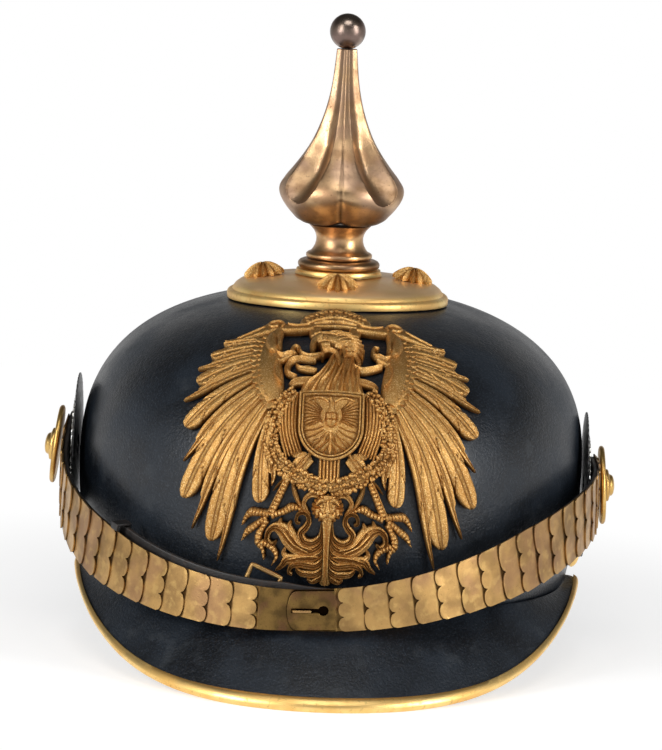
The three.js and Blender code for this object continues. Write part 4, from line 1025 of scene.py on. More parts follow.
# Each row of scallops: how far it reaches, its feathers' half width, and how high it lies.
SCALLOP_ROWS = ((4.6, 1.5, 2.9), (2.2, 1.3, 3.2))
SCALLOP_LENGTH = 4
for side in (-1, 1):
    edge_line = drawn_line(SHOULDER, 44)
    sheet = stroke_section("swell", 1.2, 2.7)
    eagle.strip(side * edge_line[:, 0], edge_line[:, 1], edge_line[:, 2], edge_line[:, 2], sheet, 0.75, 18)
    for i in range(SCALLOPS):
        u, w, half = edge_line[8 + round(i * 33 / (SCALLOPS - 1))]
        fan = math.radians(2 - 84 * i / (SCALLOPS - 1))
        fan_u, fan_w = math.cos(fan), math.sin(fan)
        for row, (reach, size, base) in enumerate(SCALLOP_ROWS):
            out = half * 0.6 + reach - 1.6 - 0.5 * (i % 2)
            tip_u, tip_w = u + fan_u * out, w + fan_w * out + 1.2 * row
            root_u, root_w = tip_u - SCALLOP_LENGTH * fan_u, tip_w - SCALLOP_LENGTH * fan_w
            short_feather(side * tip_u, tip_w, side * root_u, root_w, size, base)

dress(eagle.mesh("eagle_wing_relief"), gilt, "eagle_plate", angle=42)
eagle = Casting()

# Ribbons from the crown along the tops of the wings, each rolled into a hump on the way.
both(stroke, "plain", 1, 2.9, 64, 14, (7.4, 92.6, 1.7), (12.5, 91.4, 1.5), (16.2, 91.8, 2.2),
     (20.2, 92.8, 3.3), (24.2, 90.6, 2.4), (28.4, 87.4, 1.4), (33, 84.6, 0.9), (37.2, 84.2, 0.4))
both(stroke, "round", 3.3, 1, 60, 6, (18.2, 91, 0.3), (17.4, 93, 0.35), (18.8, 94.8, 0.4),
     (21.4, 94.4, 0.4), (22.6, 92.4, 0.4), (21.2, 91, 0.35), (19.6, 91.6, 0.35), (19.8, 92.8, 0.3))
both(stroke, "round", 3.2, 0.9, 20, 6, (9, 93.2, 0.35), (13, 92.2, 0.35), (16.2, 93.2, 0.35))
both(stroke, "round", 3.1, 0.8, 20, 6, (24, 91.8, 0.4), (28.4, 88.2, 0.4), (33, 85, 0.3))
# The polished head of the wing's bone, and the curled ties between it and the neck.
both(stroke, "round", 1.6, 3.9, 30, 12, (20.9, 84.4, 1.2), (21.3, 81.2, 2.3), (20.8, 78, 2.2),
     (20.9, 75.4, 0.9))
both(stroke, "round", 1.6, 3.5, 18, 8, (19, 84, 0.5), (18.6, 80.6, 0.9), (18.9, 77.6, 0.7))
both(stroke, "ridged", 0.9, 2.6, 26, 8, (19.6, 76.6, 1.1), (17.2, 75.6, 1.3), (15.2, 76.6, 1),
     (13.6, 76, 0.8))
both(stroke, "round", 0.9, 2.2, 22, 8, (20, 73.6, 0.6), (18.4, 72.6, 1), (16.4, 73.6, 0.9),
     (14.6, 74.8, 0.6))
both(stroke, "ridged", 1, 3.4, 30, 8, (19, 72, 0.6), (19.8, 67, 1.2), (18.6, 62.8, 1.1), (17, 60.4, 0.5))

# Ties on the viewer's left: a loop that the tongue's curl meets, and the scrap of leaf below it.
stroke("round", 0.9, 2.4, 40, 8, (-13, 75.8, 0.8), (-14.2, 78.6, 0.9), (-13.2, 80.4, 0.8),
       (-11.9, 79.4, 0.7), (-12.4, 77.4, 0.6))
stroke("ridged", 0.9, 2.5, 60, 8, (-12.2, 64.4, 0.9), (-15.2, 66.6, 1.1), (-15.6, 70, 1.2),
       (-14.2, 73, 1.2), (-11.4, 74, 1.1), (-8.8, 73.2, 0.9), (-6, 72.8, 0.6))
stroke("leaf", 0.9, 2.4, 26, 8, (-5.6, 67.8, 1.1), (-8.6, 68.6, 1.5), (-11.4, 69.2, 1), (-12.6, 70.4, 0.5))
stroke("leaf", 1, 2.6, 30, 10, (-5.6, 62.8, 1.6), (-9, 62.6, 2), (-12.4, 62, 1.8), (-14.4, 60.2, 0.9))
# Ties on the viewer's right: an open curl under the hump, and a wavy bar from the neck.
stroke("round", 0.9, 2.4, 46, 8, (18.6, 76.4, 1.1), (16.2, 75.6, 0.9), (14.2, 76.4, 0.8),
       (13.2, 78.8, 0.8), (13.8, 81, 0.7), (15.2, 80.4, 0.5))
stroke("ridged", 0.9, 2.6, 36, 10, (6.4, 70.6, 1.3), (9.4, 68.8, 1.5), (12.6, 69.6, 1.4), (16.4, 71.6, 1.2))
stroke("leaf", 1, 2.6, 28, 10, (7.4, 63, 1.4), (10.6, 62.6, 1.7), (13.6, 61.4, 1.3), (15.2, 60, 0.7))

# Neck and breast: long wavy locks that spread downwards to the shield.
NECK_LOCKS = 9
for i in range(NECK_LOCKS):
    share = i / (NECK_LOCKS - 1) * 2 - 1
    swing = 0.5 * (-1) ** i
    stroke("ridged", 1.5, 2.7 - 0.7 * share**2, 40, 8, (4.2 + 3.2 * share, 80, 0.7),
           (3.4 + 4.6 * share + swing, 73.5, 0.9), (2 + 6 * share, 66.5, 1.1),
           (0.4 + 8.8 * share - swing, 60.2, 1.4), (9.8 * share, 56.4, 1.3))
stroke("plain", 0.9, 2.2, 40, 16, (3.6, 80.6, 4), (2.6, 70, 5.6), (0.4, 61, 8.4), (0, 56.4, 9.6))
BREAST_LOCKS = 6
both(stroke, "plain", 0.9, 1.4, 40, 12, (14, 57, 3.4), (14.6, 48, 3.8), (13.4, 39, 3), (10.6, 33.8, 1.6))
for i in range(BREAST_LOCKS):
    shift = 1.15 * i
    both(stroke, "round", 1.6, 1.5 + 0.25 * (i % 2), 30, 6, (11.4 + shift, 56.6, 0.45),
         (11.9 + shift, 49, 0.6), (11.6 + shift * 0.9, 41.5, 0.6),
         (9.6 + shift * 0.85, 35.4 - 0.4 * i, 0.45))

# Head turned to the viewer's left: smooth cheek, brow, hooked beak, curled tongue, crest of swept locks.
stroke("round", 1, 3.7, 44, 14, (-6.4, 83.4, 2.2), (-2.6, 84.2, 3.2), (1.6, 83.6, 3.9), (5, 81.4, 3.6))
stroke("round", 1, 4, 22, 12, (-1.8, 80, 2.8), (-4.6, 79, 1.9))
stroke("round", 1, 4.2, 34, 10, (-4.4, 84.6, 2), (-6.3, 82.6, 1.7), (-7.2, 79.6, 1.2), (-7.1, 77, 0.3))
stroke("round", 3.4, 1.6, 28, 8, (-7, 84.6, 0.5), (-4.4, 85.8, 0.7), (-1.2, 85.6, 0.7), (1, 84.2, 0.4))
stroke("round", 4.2, 1, 16, 6, (-5.6, 79.8, 0.35), (-3.4, 80.6, 0.4), (-1.2, 80, 0.3))
eagle.knob(-3.2, 82.4, 0.95, 0.7, 4.5, 14)
eagle.knob(-3.2, 82.4, 0.4, 0.4, 5.1, 8)
stroke("round", 0.9, 2.7, 54, 8, (-2.6, 77, 0.9), (-4.2, 75.8, 0.9), (-6.6, 75, 0.9), (-9.2, 75, 0.8),
       (-11, 76.4, 0.7), (-11.7, 78.4, 0.4))
stroke("ridged", 2.9, 1.7, 50, 8, (-3.9, 73.6, 0.5), (-3.6, 75.8, 0.7), (-1.6, 77, 0.8), (0.6, 75.6, 0.9),
       (1.7, 72.6, 0.9), (1.8, 69, 0.6))
stroke("ridged", 3.2, 1.5, 30, 8, (0.2, 78.6, 0.4), (2.2, 78.4, 0.8), (3.6, 76.2, 1), (3.8, 73, 0.6))
CREST_LOCKS = [
    [(-3, 85.6, 0.6), (-0.6, 87, 0.8), (2.4, 87.2, 0.3)],
    [(-1, 84.6, 0.6), (2, 86.4, 0.8), (5.6, 85.8, 0.3)],
    [(0.6, 83.4, 0.6), (3.8, 85, 0.9), (7.6, 83.8, 0.3)],
    [(1.4, 82, 0.6), (5.2, 83.2, 0.9), (9.2, 81.4, 0.3)],
    [(2, 80.4, 0.6), (6, 81.4, 0.9), (9.9, 78.8, 0.3)],
    [(2.6, 78.6, 0.6), (6.4, 79.2, 0.9), (10.2, 76, 0.3)],
    [(3.4, 76.6, 0.6), (6.8, 77, 0.9), (9.8, 73.4, 0.3)],
    [(4.2, 74.4, 0.6), (6.9, 74.4, 0.9), (8.6, 70.8, 0.3)],
]
for lock in CREST_LOCKS:
    stroke("ridged", 2.2, 2.6, 26, 8, *lock)

# Crown: an arch set with ornament, open below it on a sunk lens, then a band with a dark slot under it.
HALF_ARCH = [(9.8, 93, 1.6), (9.6, 95.6, 2.8), (6.5, 98.3, 3.3), (3.2, 100.6, 3.7), (0, 101.4, 3.9)]
ARCH = [(-u, w, half) for u, w, half in HALF_ARCH] + HALF_ARCH[-2::-1]
stroke("plain", 1, 3.1, 90, 16, *ARCH)
arch_line = drawn_line(ARCH, 60)
for i in range(13):
    u, w, half = arch_line[6 + round(i * 3.92)]
    size = 0.9 + 0.25 * (i % 2)
    eagle.knob(u * 1.02, w + half * 0.62, size, 1.2, 3.3, 9, 1.3, i)
    eagle.knob(u * 0.98, w - half * 0.35, 0.55, 0.5, 3.8, 7, 1.6, 2 * i)
for share in (0.92, -0.82):
    edge_run = [(u, w + half * share, 0.3) for u, w, half in arch_line[5:55:7]]
    stroke("round", 3.3, 1, 60, 6, *edge_run)
for i in range(9):
    eagle.knob((i - 4) * 1.55, 97.6 - 0.16 * (i - 4) ** 2, 0.42, 0.5, 1.9, 6)
stroke("plain", 1.7, 1.7, 44, 10, (-10.8, 92.6, 0.9), (-5, 93.9, 0.8), (0, 94.2, 0.7), (5, 93.9, 0.8),
       (10.8, 92.6, 0.9), under=1.5)
stroke("round", 1, 2.9, 14, 8, (0, 104.4, 1.5), (0, 106.4, 0.9))
for side in (-1, 1):
    eagle.knob(side * 2, 104.6, 0.9, 2.4, 1.1, 8)
both(stroke, "plain", 0.9, 2.2, 20, 10, (6.2, 93.2, 1.7), (7, 90.4, 1.9), (6.6, 87.2, 1.6))

# The chain round the shield: small irregular nuggets, three abreast, on a raised bed.
CHAIN = [(12.8, 57.6, 2), (17, 52, 2.3), (19.4, 44, 2.4), (19.4, 36.4, 2.4), (15.6, 31, 2.4),
         (10.8, 27.8, 2.3), (5.6, 25.6, 2.2), (0, 24.6, 2.2)]
rng = np.random.default_rng(7)
for side in (-1, 1):
    stroke("plain", 0.9, 1.7, 60, 8, *CHAIN, side=side)
    chain_line = drawn_line(CHAIN, 48)
    for i in range(47):
        u, w, half = chain_line[i]
        ahead = chain_line[i + 1] - chain_line[i]
        heading = math.atan2(ahead[1], ahead[0])
        for j in range(3):
            away = half * (j - 1) / 1.25 + rng.uniform(-0.35, 0.35)
            slip = rng.uniform(-0.35, 0.35)
            eagle.knob(side * (u - math.sin(heading) * away + slip * math.cos(heading)),
                       w + math.cos(heading) * away + slip * math.sin(heading),
                       rng.uniform(0.55, 0.95), rng.uniform(0.9, 2.4), 2.0, 7, rng.uniform(0.7, 1.8),
                       side * rng.uniform(0, 3.1))

# Thighs and the tail's root below the shield, each a bundle of straight ribs with open gaps between.
for i in range(5):
    shift = (i - 2) * 1.25
    both(stroke, "round", 1.3, 1.9 + 0.2 * (i % 2), 16, 6, (7.2 + shift * 0.75, 34.4 - shift * 0.7, 0.55),
         (11.4 + shift * 0.72, 29 - shift * 0.62, 0.6))
both(stroke, "plain", 0.9, 1.3, 14, 8, (7.2, 34.4, 3), (11.4, 29, 2.7))
for i in range(6):
    stroke("round", 1.3, 1.7 + 0.2 * (i % 2), 20, 6, ((i - 2.5) * 1.2, 33.6, 0.55),
           ((i - 2.5) * 1.2, 26, 0.6))
stroke("plain", 0.9, 1.2, 14, 8, (0, 34, 3.2), (0, 25.4, 3.1))

# Shanks like little ladders, with a spur and a hanging lock each, and jointed toes with claws.
TOES = [
    [(19.4, 17.5, 1.2), (21.6, 17.9, 1), (23.6, 18.2, 1.15), (25.8, 18.4, 1.25), (27.4, 17.2, 0.8),
     (28.4, 15.4, 0.25)],
    [(18.8, 17, 1.2), (16.4, 17.5, 0.95), (14.4, 18, 1.1), (12.4, 18.9, 1.25), (10.2, 18.8, 0.8),
     (8, 17.9, 0.25)],
    [(20.2, 16.6, 1.2), (22.6, 15.6, 1), (24.8, 14.4, 1.15), (26.8, 13.4, 1.1), (28.3, 11.4, 0.25)],
    [(20.3, 16, 1.2), (21.6, 14, 1), (22.8, 12.2, 1.35), (23, 10.4, 1.2), (21.6, 8.8, 0.8),
     (20.6, 5.8, 0.25)],
    [(22, 10.2, 0.9), (19.6, 9.4, 1), (17.8, 8.2, 0.9), (16.6, 6.2, 0.7), (18, 4.2, 0.2)],
]
both(stroke, "beads", 0.9, 2.5, 70, 10, (13.8, 26.8, 1.2), (16.6, 21.8, 1.25), (19.2, 17.4, 1.4))
both(stroke, "round", 2.2, 1.2, 24, 6, (14.8, 26.6, 0.35), (17.4, 22.2, 0.35), (19.9, 17.8, 0.35))
both(stroke, "ridged", 0.9, 2.2, 20, 6, (14.4, 27, 0.8), (16.4, 25.8, 0.6), (18.4, 23.8, 0.2))
both(stroke, "ridged", 0.9, 2.2, 34, 8, (11.8, 25.6, 0.8), (11.3, 23.2, 0.9), (10.2, 20.9, 0.8),
     (8.7, 18.9, 0.6), (7.2, 17.6, 0.3))
for toe in TOES:
    both(stroke, "beads", 0.9, 2.5, 60, 8, *toe)

# A lion's mask over the tail's root: broad mane, brows, cheeks and muzzle, with a curled leaf each side.
for i in range(17):
    turn = math.radians(-60 + 300 * i / 16)
    far = (5.4 * math.cos(turn), 18.9 + 3.9 * math.sin(turn))
    stroke("ridged", 1.8, 2.2, 14, 6, (far[0] * 0.45, 18.6 + (far[1] - 18.6) * 0.45, 0.75),
           (far[0], far[1], 0.6))
stroke("round", 1, 3, 36, 14, (0, 22.4, 2.8), (0, 20.4, 4.3), (0, 18, 4.2), (0, 16, 2.6), (0, 14.8, 1.2))
stroke("round", 3.6, 1.5, 20, 8, (0, 21.2, 0.6), (0, 19.2, 0.8), (0, 17.9, 1.25))
stroke("ridged", 2.8, 1.8, 12, 8, (0, 16.6, 1.1), (0, 15, 0.5))
for side in (-1, 1):
    eagle.knob(side * 1.9, 19.6, 0.7, 0.6, 3.6, 10)
both(stroke, "round", 3.4, 1.4, 16, 6, (0.6, 20.9, 0.55), (2.2, 21.2, 0.65), (3.8, 20, 0.4))
both(stroke, "round", 3.3, 1.4, 16, 6, (0.4, 17.4, 0.7), (1.8, 16.8, 0.8), (2.6, 18.1, 0.5))
both(stroke, "round", 2.9, 1.4, 10, 6, (3.2, 18.8, 0.9), (3.4, 17.2, 0.7))
both(stroke, "leaf", 0.9, 2.5, 50, 8, (3, 22, 0.8), (5, 22.6, 1), (7, 21.8, 0.9), (8, 20, 0.8),
     (7.2, 18.4, 0.7), (5.9, 17, 0.5))

# Tail: a ribbed stem with acanthus scrolls that roll out from it on both sides.
stroke("strands", 0.9, 3.1, 50, 12, (0, 15.6, 2.2), (0, 12, 1.5), (0, 8, 1.2), (0, 4, 1.2), (0, 0.6, 1.6),
       (0, -0.8, 2.4))
SCROLLS = [
    [(1.5, 15.4, 0.5), (1.5, 13.2, 0.8), (2, 11.2, 0.9), (3.6, 9.8, 1.1), (6, 9.4, 1.2), (8, 10.4, 1.2),
     (8.6, 12, 1.2), (7, 13.6, 1.1), (6.1, 15, 1), (6.4, 16.6, 0.8), (8.2, 17.6, 0.7), (10, 16.8, 0.6),
     (10.2, 15, 0.5), (9, 14.6, 0.4)],
    [(0.9, 12.6, 0.6), (1.5, 9.8, 1), (3.6, 8, 1.3), (7, 7.6, 1.7), (10.4, 9, 2.4), (12.8, 11.2, 2.7),
     (15.2, 13.2, 2), (17.6, 13.9, 1.2), (19.6, 12.6, 1), (19.8, 10.6, 0.8), (18, 9.4, 0.7),
     (16.6, 10.2, 0.4)],
    [(0.7, 10, 0.5), (1.3, 7.4, 0.8), (3.6, 5.9, 1.1), (7.2, 5.7, 1.3), (10.6, 5.4, 1.4),
     (13.2, 5.2, 1.4), (14.6, 3.9, 0.9), (16.6, 2.9, 0.3)],
    [(0.6, 7.4, 0.5), (1.2, 5.2, 0.8), (3.2, 3.8, 1), (6.2, 3.9, 1.1), (9.2, 4.2, 1.1), (11.6, 3.5, 0.8),
     (12.2, 2.2, 0.6), (11, 1.6, 0.4)],
    [(0.6, 5, 0.5), (1.2, 3, 0.7), (3, 1.8, 0.9), (6, 1.6, 1), (8.6, 2.1, 0.8), (9.9, 3.1, 0.4)],
    [(0.6, 3, 0.4), (1.2, 1.2, 0.6), (2.8, 0.2, 0.8), (4.8, -0.2, 0.5), (6, 0.5, 0.3)],
]
LEAF_LOBES = [
    [(11.4, 11.6, 1.2), (12.6, 14.2, 0.9), (12, 15.4, 0.3)],
    [(14, 12.6, 1.1), (15.8, 15, 0.8), (15.4, 16.2, 0.3)],
    [(12.6, 5.6, 0.8), (14.2, 7.2, 0.8), (13.4, 8.6, 0.3)]]
LEAF_VEINS = [
    [(4.4, 7.9, 0.25), (8.6, 9, 0.3), (12.4, 12.6, 0.3)], [(6, 7.2, 0.25), (11, 9.4, 0.3), (14.4, 12.6, 0.3)],
    [(2.4, 6.2, 0.2), (7, 6.2, 0.3), (12.4, 5.6, 0.25)]]
for scroll in SCROLLS:
    both(stroke, "leaf", 0.9, 2.8, 8 * len(scroll), 12, *scroll)
for lobe in LEAF_LOBES:
    both(stroke, "leaf", 0.9, 2.6, 22, 8, *lobe)
for vein in LEAF_VEINS:
    both(stroke, "round", 2.7, 0.9, 26, 6, *vein)

# Shield: a double rim round a sunk field, which holds a small eagle with a quartered shield of its own.
SHIELD_HALF = 10.9
SHIELD_TOP = 56.6
SHIELD_SHOULDER = 43.4
SHIELD_CORNERS = 96
# Shares of the outline where its top, its right side and its round foot end.
TOP_END, RIGHT_END, FOOT_END = 0.2, 0.35, 0.85


def shield_outline(share, inset):
    """A point on the shield's outline: along its top, then down the right side and round."""
    half = SHIELD_HALF - inset
    top = SHIELD_TOP - inset
    turn = -np.pi * ramp(share, RIGHT_END, FOOT_END)
    u = np.where(share < TOP_END, half * (2 * share / TOP_END - 1), half * np.cos(turn))
    down = top + (SHIELD_SHOULDER - top) * ramp(share, TOP_END, RIGHT_END)
    up = SHIELD_SHOULDER + (top - SHIELD_SHOULDER) * ramp(share, FOOT_END)
    w = np.where(share > FOOT_END, up, SHIELD_SHOULDER + half * np.sin(turn))
    w = np.where(share < RIGHT_END, down, w)
    return u, np.where(share < TOP_END, top + 0.5 * np.sin(np.pi * share / TOP_END), w)


# Steps from the shield's foot inwards: inset, lift, and tone, which is dark at the foot and in the grooves
# between the rims as patina and painted shade.
SHIELD_STEPS = [
    (0, 1.9, 1), (0, 4, 0.6), (0.25, 4.3, 0.1), (0.7, 4.3, 0.1), (0.9, 3.7, 1), (1.05, 3.7, 1),
    (1.25, 4.2, 0.2),
    (1.6, 4.2, 0.2), (1.9, 3.4, 0.9), (4, 3.4, 0.2), (8, 3.6, 0.2), (10.6, 3.7, 0.2)]
shield_share = np.linspace(0, 1, SHIELD_CORNERS, endpoint=False)
shield_rings = [
    on_skull(*shield_outline(shield_share, inset), np.full(SHIELD_CORNERS, lift))
    for inset, lift, _ in SHIELD_STEPS]
shield_tones = np.array([[tone] * SHIELD_CORNERS for _, _, tone in SHIELD_STEPS])
eagle.loft(np.stack(shield_rings), shield_tones)


def inlay(kind, crest, rows, *points, side=1, columns=6):
    """A stroke of the small relief on the shield's field."""
    line = drawn_line(points, rows)
    half = np.maximum(line[:, 2], 0.12)
    full = stroke_section(kind, 3.4, crest)

    def section(s, t, length):
        lift, tone = full(s, t, length)
        return lift, tone * 0.85

    eagle.strip(side * line[:, 0], line[:, 1], half, half, section, 3.2, columns)


# The small eagle: feet, and ribs of its wings and tail as straight runs with a slight bow.
FEET = [
    [(0.5, 39.4, 0.3), (2.2, 37.6, 0.4), (3.6, 36.6, 0.3)],
    [(0.4, 37.6, 0.3), (1.6, 36, 0.35), (2.4, 35, 0.3)],
    [(0.3, 41.4, 0.3), (1.2, 40.2, 0.35), (1.8, 38.8, 0.25)]]
RIBS = [
    (2.6, 43.6, 8.4, 42), (2.4, 42.4, 8, 39.6), (5.4, 38.6, 7.4, 37.6), (2, 40.8, 6.2, 36.4),
    (1.4, 38.8, 5, 34.9), (2.4, 37.6, 6.4, 35.4), (0.8, 36.6, 2.8, 33.9)]
for i in range(12):
    turn = math.radians(66 - 13.5 * i)
    near = (2.6 + 0.9 * math.cos(turn), 47.6 + 2.2 * math.sin(turn))
    far = (min(9.0, 2.6 + 7.4 * math.cos(turn) ** 0.8) if turn > -1.4 else 2.8,
           max(48.4 + 6.6 * math.sin(turn), 39.2 + 0.5 * i))
    middle = ((near[0] + far[0]) / 2 + 0.25, (near[1] + far[1]) / 2 + 0.2)
    both(inlay, "ridged", 0.75, 12, (*near, 0.16), (*middle, 0.3), (*far, 0.24))
both(inlay, "round", 0.6, 16, (1, 52.8, 0.45), (3, 54.2, 0.45), (5.6, 54.2, 0.35), (7.6, 53.2, 0.3))
both(inlay, "beads", 0.7, 20, (1.4, 42, 0.4), (3.2, 40.2, 0.4), (4.8, 39.4, 0.3))
both(inlay, "round", 0.6, 8, (3.6, 40.2, 0.25), (3.8, 38.6, 0.2))
both(inlay, "round", 0.6, 8, (4.6, 39.6, 0.25), (5.8, 38.8, 0.2))
for foot in FEET:
    both(inlay, "ridged", 0.9, 12, *foot)
for near_u, near_w, far_u, far_w in RIBS:
    bow = ((near_u + far_u) / 2, (near_w + far_w) / 2 - 0.3, 0.34)
    both(inlay, "ridged", 0.8, 12, (near_u, near_w, 0.2), bow, (far_u, far_w, 0.2))
inlay("ridged", 0.7, 20, (-0.5, 54.4, 0.7), (0.1, 52.6, 0.8), (0, 50.6, 1.1), (0, 48.4, 1.9), columns=8)
inlay("round", 0.7, 8, (-0.2, 54.2, 0.45), (-1.7, 53.6, 0.25))
inlay("round", 0.7, 12, (-1.2, 55.4, 0.3), (0, 55.9, 0.4), (1.2, 55.4, 0.3))
inlay("ridged", 0.8, 20, (0, 42.4, 0.8), (0, 39, 0.5), (0, 36.4, 0.7), (0, 34.4, 0.35), columns=8)
inlay("plain", 0.9, 18, (0, 48.4, 2.1), (0, 47, 2.1), (0, 44.9, 2), (0, 43.7, 1.3), (0, 43.2, 0.3),
      columns=10)
SMALL_RIM = [(-1.9, 48.2), (-1.85, 45), (-1.1, 43.8), (0, 43.3), (1.1, 43.8), (1.85, 45), (1.9, 48.2)]
SMALL_BARS = [[(-1.9, 48.2), (1.9, 48.2)], [(-1.9, 46), (1.9, 46)], [(0, 48.2), (0, 43.6)]]
for line in (*SMALL_BARS, SMALL_RIM):
    inlay("round", 1.35, 6 * len(line), *((u, w, 0.14) for u, w in line))
dress(eagle.mesh("eagle_body_relief"), gilt, "eagle_plate", angle=42)


# ---- Chin strap leather -------------------------------------------------------------------------
# Two strips of thin blackened leather back the scales and hang from the pivots at the helmet's sides.
STRAP_LOWEST = 29.7
STRAP_LOWEST_ANGLE = -8
STRAP_END = 85
LEFT_RISE = 34.8
RIGHT_RISE = 27.8
STRAP_MIDDLE_WIDTH = 14
STRAP_WIDENING = 7.5
STRAP_OFFSET = 5.1
STRAP_CLEARANCE = 6
LEATHER_PAST_END = 6.5
LEATHER_INSET = 0.9
LEATHER_OUTER = -1.4


def strap_height(degrees):
    share = np.abs(degrees - STRAP_LOWEST_ANGLE)
    left = LEFT_RISE * (share / (STRAP_END + STRAP_LOWEST_ANGLE)) ** 1.85
    right = RIGHT_RISE * np.sin(np.pi / 2 * share / (STRAP_END - STRAP_LOWEST_ANGLE)) ** 2
    return STRAP_LOWEST + np.where(degrees < STRAP_LOWEST_ANGLE, left, right)


def strap_width(degrees):
    return STRAP_MIDDLE_WIDTH + STRAP_WIDENING * ramp(np.abs(degrees + 4), 0, 45) ** 1.3


def strap_spot(degrees):
    """Middle of the strap's face at an angle; it stands off the skull and closes in at its ends."""
    offset = STRAP_OFFSET + STRAP_CLEARANCE * (1 - np.abs(np.sin(np.radians(degrees))) ** 22)
    x, y = plan_spot(degrees, HALF_WIDTH + offset, HALF_LENGTH + offset)
    return np.stack((x, y, strap_height(degrees)), axis=-1)


def strap_directions(degrees):
    """Directions along the strap, out from its face and up across it."""
    along = unit(strap_spot(degrees + 0.25) - strap_spot(degrees - 0.25))
    out = unit(np.stack((along[..., 1], -along[..., 0], 0 * along[..., 0]), axis=-1))
    across = np.cross(out, along)
    return along, out, np.where(across[..., 2:] < 0, -across, across)


def on_strap(degrees, side, depth):
    """A place at an angle along the strap, a distance up across it, and a distance out from its face."""
    _, out, across = strap_directions(degrees)
    return strap_spot(degrees) + across * np.asarray(side)[..., None] + out * np.asarray(depth)[..., None]


def strap_leather_finish():
    """Thin strap leather, black on its face and rubbed brown in patches."""
    leather = Finish("Strap leather", "strap_leather", Coat_Roughness=0.4)
    cloud = leather.noise(6, 4)
    rubbed = leather.noise(2.4, 5).between(0.52, 0.7)
    tint = leather.blend(cloud.between(0.35, 0.65), (17, 14, 13), (31, 25, 22))
    return leather.feed(
        Base_Color=leather.blend(rubbed * 0.4, tint, (64, 50, 42)),
        Roughness=cloud.between(0.3, 0.7, 0.5, 0.66),
        Coat_Weight=rubbed.between(0, 1, 0.25, 0.05),
        Normal=leather.grain(leather.cells(0.7) * 0.6 + leather.noise(1.5, 3) * 0.5, 0.12),
    )


strap_leather = strap_leather_finish()


def leather_strip(label, start, side):
    end = side * (STRAP_END + LEATHER_PAST_END)

    def place(s, t):
        degrees = start + (end - start) * (s if side > 0 else 1 - s)
        past = ramp(np.abs(degrees), STRAP_END, STRAP_END + LEATHER_PAST_END)
        half = (strap_width(degrees) / 2 - LEATHER_INSET) * np.sqrt(np.maximum(1 - past**2, 0.12))
        return on_strap(degrees, half * (2 * t - 1), LEATHER_OUTER)

    piece = draped(f"strap_backing_{label}", 140, 12, place)
    thicken(piece, 1.3)
    soften(piece, 0.3, 2, 50)
    dress(piece, strap_leather, f"strap_leather_{label}")


leather_strip("left", -11.4, -1)
leather_strip("right", 2.5, 1)


# ---- Chin scales --------------------------------------------------------------------------------
# Stamped brass scales overlap along the strap, each free edge cut in two or three lobes by turns and
# lying over its neighbour towards the clasp. The brass is matt, with olive and rosy toning.
SCALE_PITCH = 8.6
SCALE_THICKNESS = 0.5
SCALE_LOBE = 1.9
SCALE_COVERED = 3.4


def aged_brass_finish():
    # The tone attribute marks where the next scale covers a scale. The dark colour there is painted shadow.
    brass = Finish("Aged brass", "aged_brass", Metallic=1.0)
    covered = brass.tone()
    cloud = brass.noise(9, 4)
    pits = brass.noise(0.8, 4).between(0.6, 0.74)
    return brass.feed(
        Base_Color=brass.coats(
            brass.blend(cloud.between(0.36, 0.64), (184, 146, 92), (144, 114, 74)),
            (brass.noise(17, 3).between(0.46, 0.62) * 0.5, (158, 120, 90)),
            (brass.noise(3.2, 5).between(0.5, 0.68) * 0.35, (210, 174, 110)),
            (pits * 0.3, (92, 74, 46)),
            # Painted shadow where the next scale covers.
            (covered.between(0.25, 0.9) * 0.92, (50, 34, 18)),
        ),
        Roughness=cloud.between(0.3, 0.7, 0.34, 0.46) + covered * 0.15,
        Normal=brass.grain(brass.noise(0.5, 3) * 0.7 - pits * 0.4, 0.05),
    )


aged_brass = aged_brass_finish()


def strap_stations(start, end, pitch):
    """Angles at equal distances along the strap."""
    fine = np.linspace(start, end, 800)
    lengths = lengths_along(strap_spot(fine))
    return np.interp(np.linspace(0, lengths[-1], round(lengths[-1] / pitch) + 1), lengths, fine)


def scale_sheet(name, free, last, lobes, side, tilt):
    """One scale, from its free lobed edge to the end that the next scale covers."""
    per_degree = np.linalg.norm(strap_spot(free + 0.5) - strap_spot(free - 0.5))
    length = abs(last - free) * per_degree

    def place(s, t):
        share = 2 * s - 1
        lobe = np.where((s <= 0) | (s >= 1), 1, (s * lobes) % 1 * 2 - 1)
        cut = SCALE_LOBE * (1 - np.sqrt(np.clip(1 - lobe**2, 0, 1)))
        start = free + side * cut / per_degree
        end = last + side * SCALE_COVERED / per_degree
        degrees = start + (end - start) * t
        raised = np.clip((degrees - last) / (free - last), -0.5, 1)
        lip = 0.14 * np.exp(-(((t - 0.05) / 0.05) ** 2))
        depth = -0.62 + 0.52 * raised + lip - 0.12 * share**2 + 0.12 * tilt * share
        return on_strap(degrees, strap_width(degrees) / 2 * (1 - 0.02 * t) * share, depth)

    # Painted shadow on the end that the next scale covers.
    def tone(s, t):
        return ramp(t * (length + SCALE_COVERED), length - 0.9, length + 0.1)

    piece = draped(name, 12 * lobes, 12, place, tone)
    if side > 0:
        with editing(piece):
            bpy.ops.mesh.flip_normals()
    thicken(piece, SCALE_THICKNESS)
    return piece


def scale_row(label, start, side):
    """A whole row of scales; each lies a little askew."""
    name = f"scale_row_{label}"
    stations = strap_stations(start, side * STRAP_END, SCALE_PITCH)
    sheets = []
    for i, (free, last) in enumerate(zip(stations, stations[1:])):
        sheets.append(scale_sheet(f"{name}_{i}", free, last, 2 if i % 2 else 3, side, rng.uniform(-1, 1)))
    select_only(sheets[0])
    for sheet in sheets:
        sheet.select_set(True)
    bpy.ops.object.join()
    dress(named(name), aged_brass, f"chin_scales_{label}", angle=32)


scale_row("left", -11, -1)
scale_row("right", 2.1, 1)


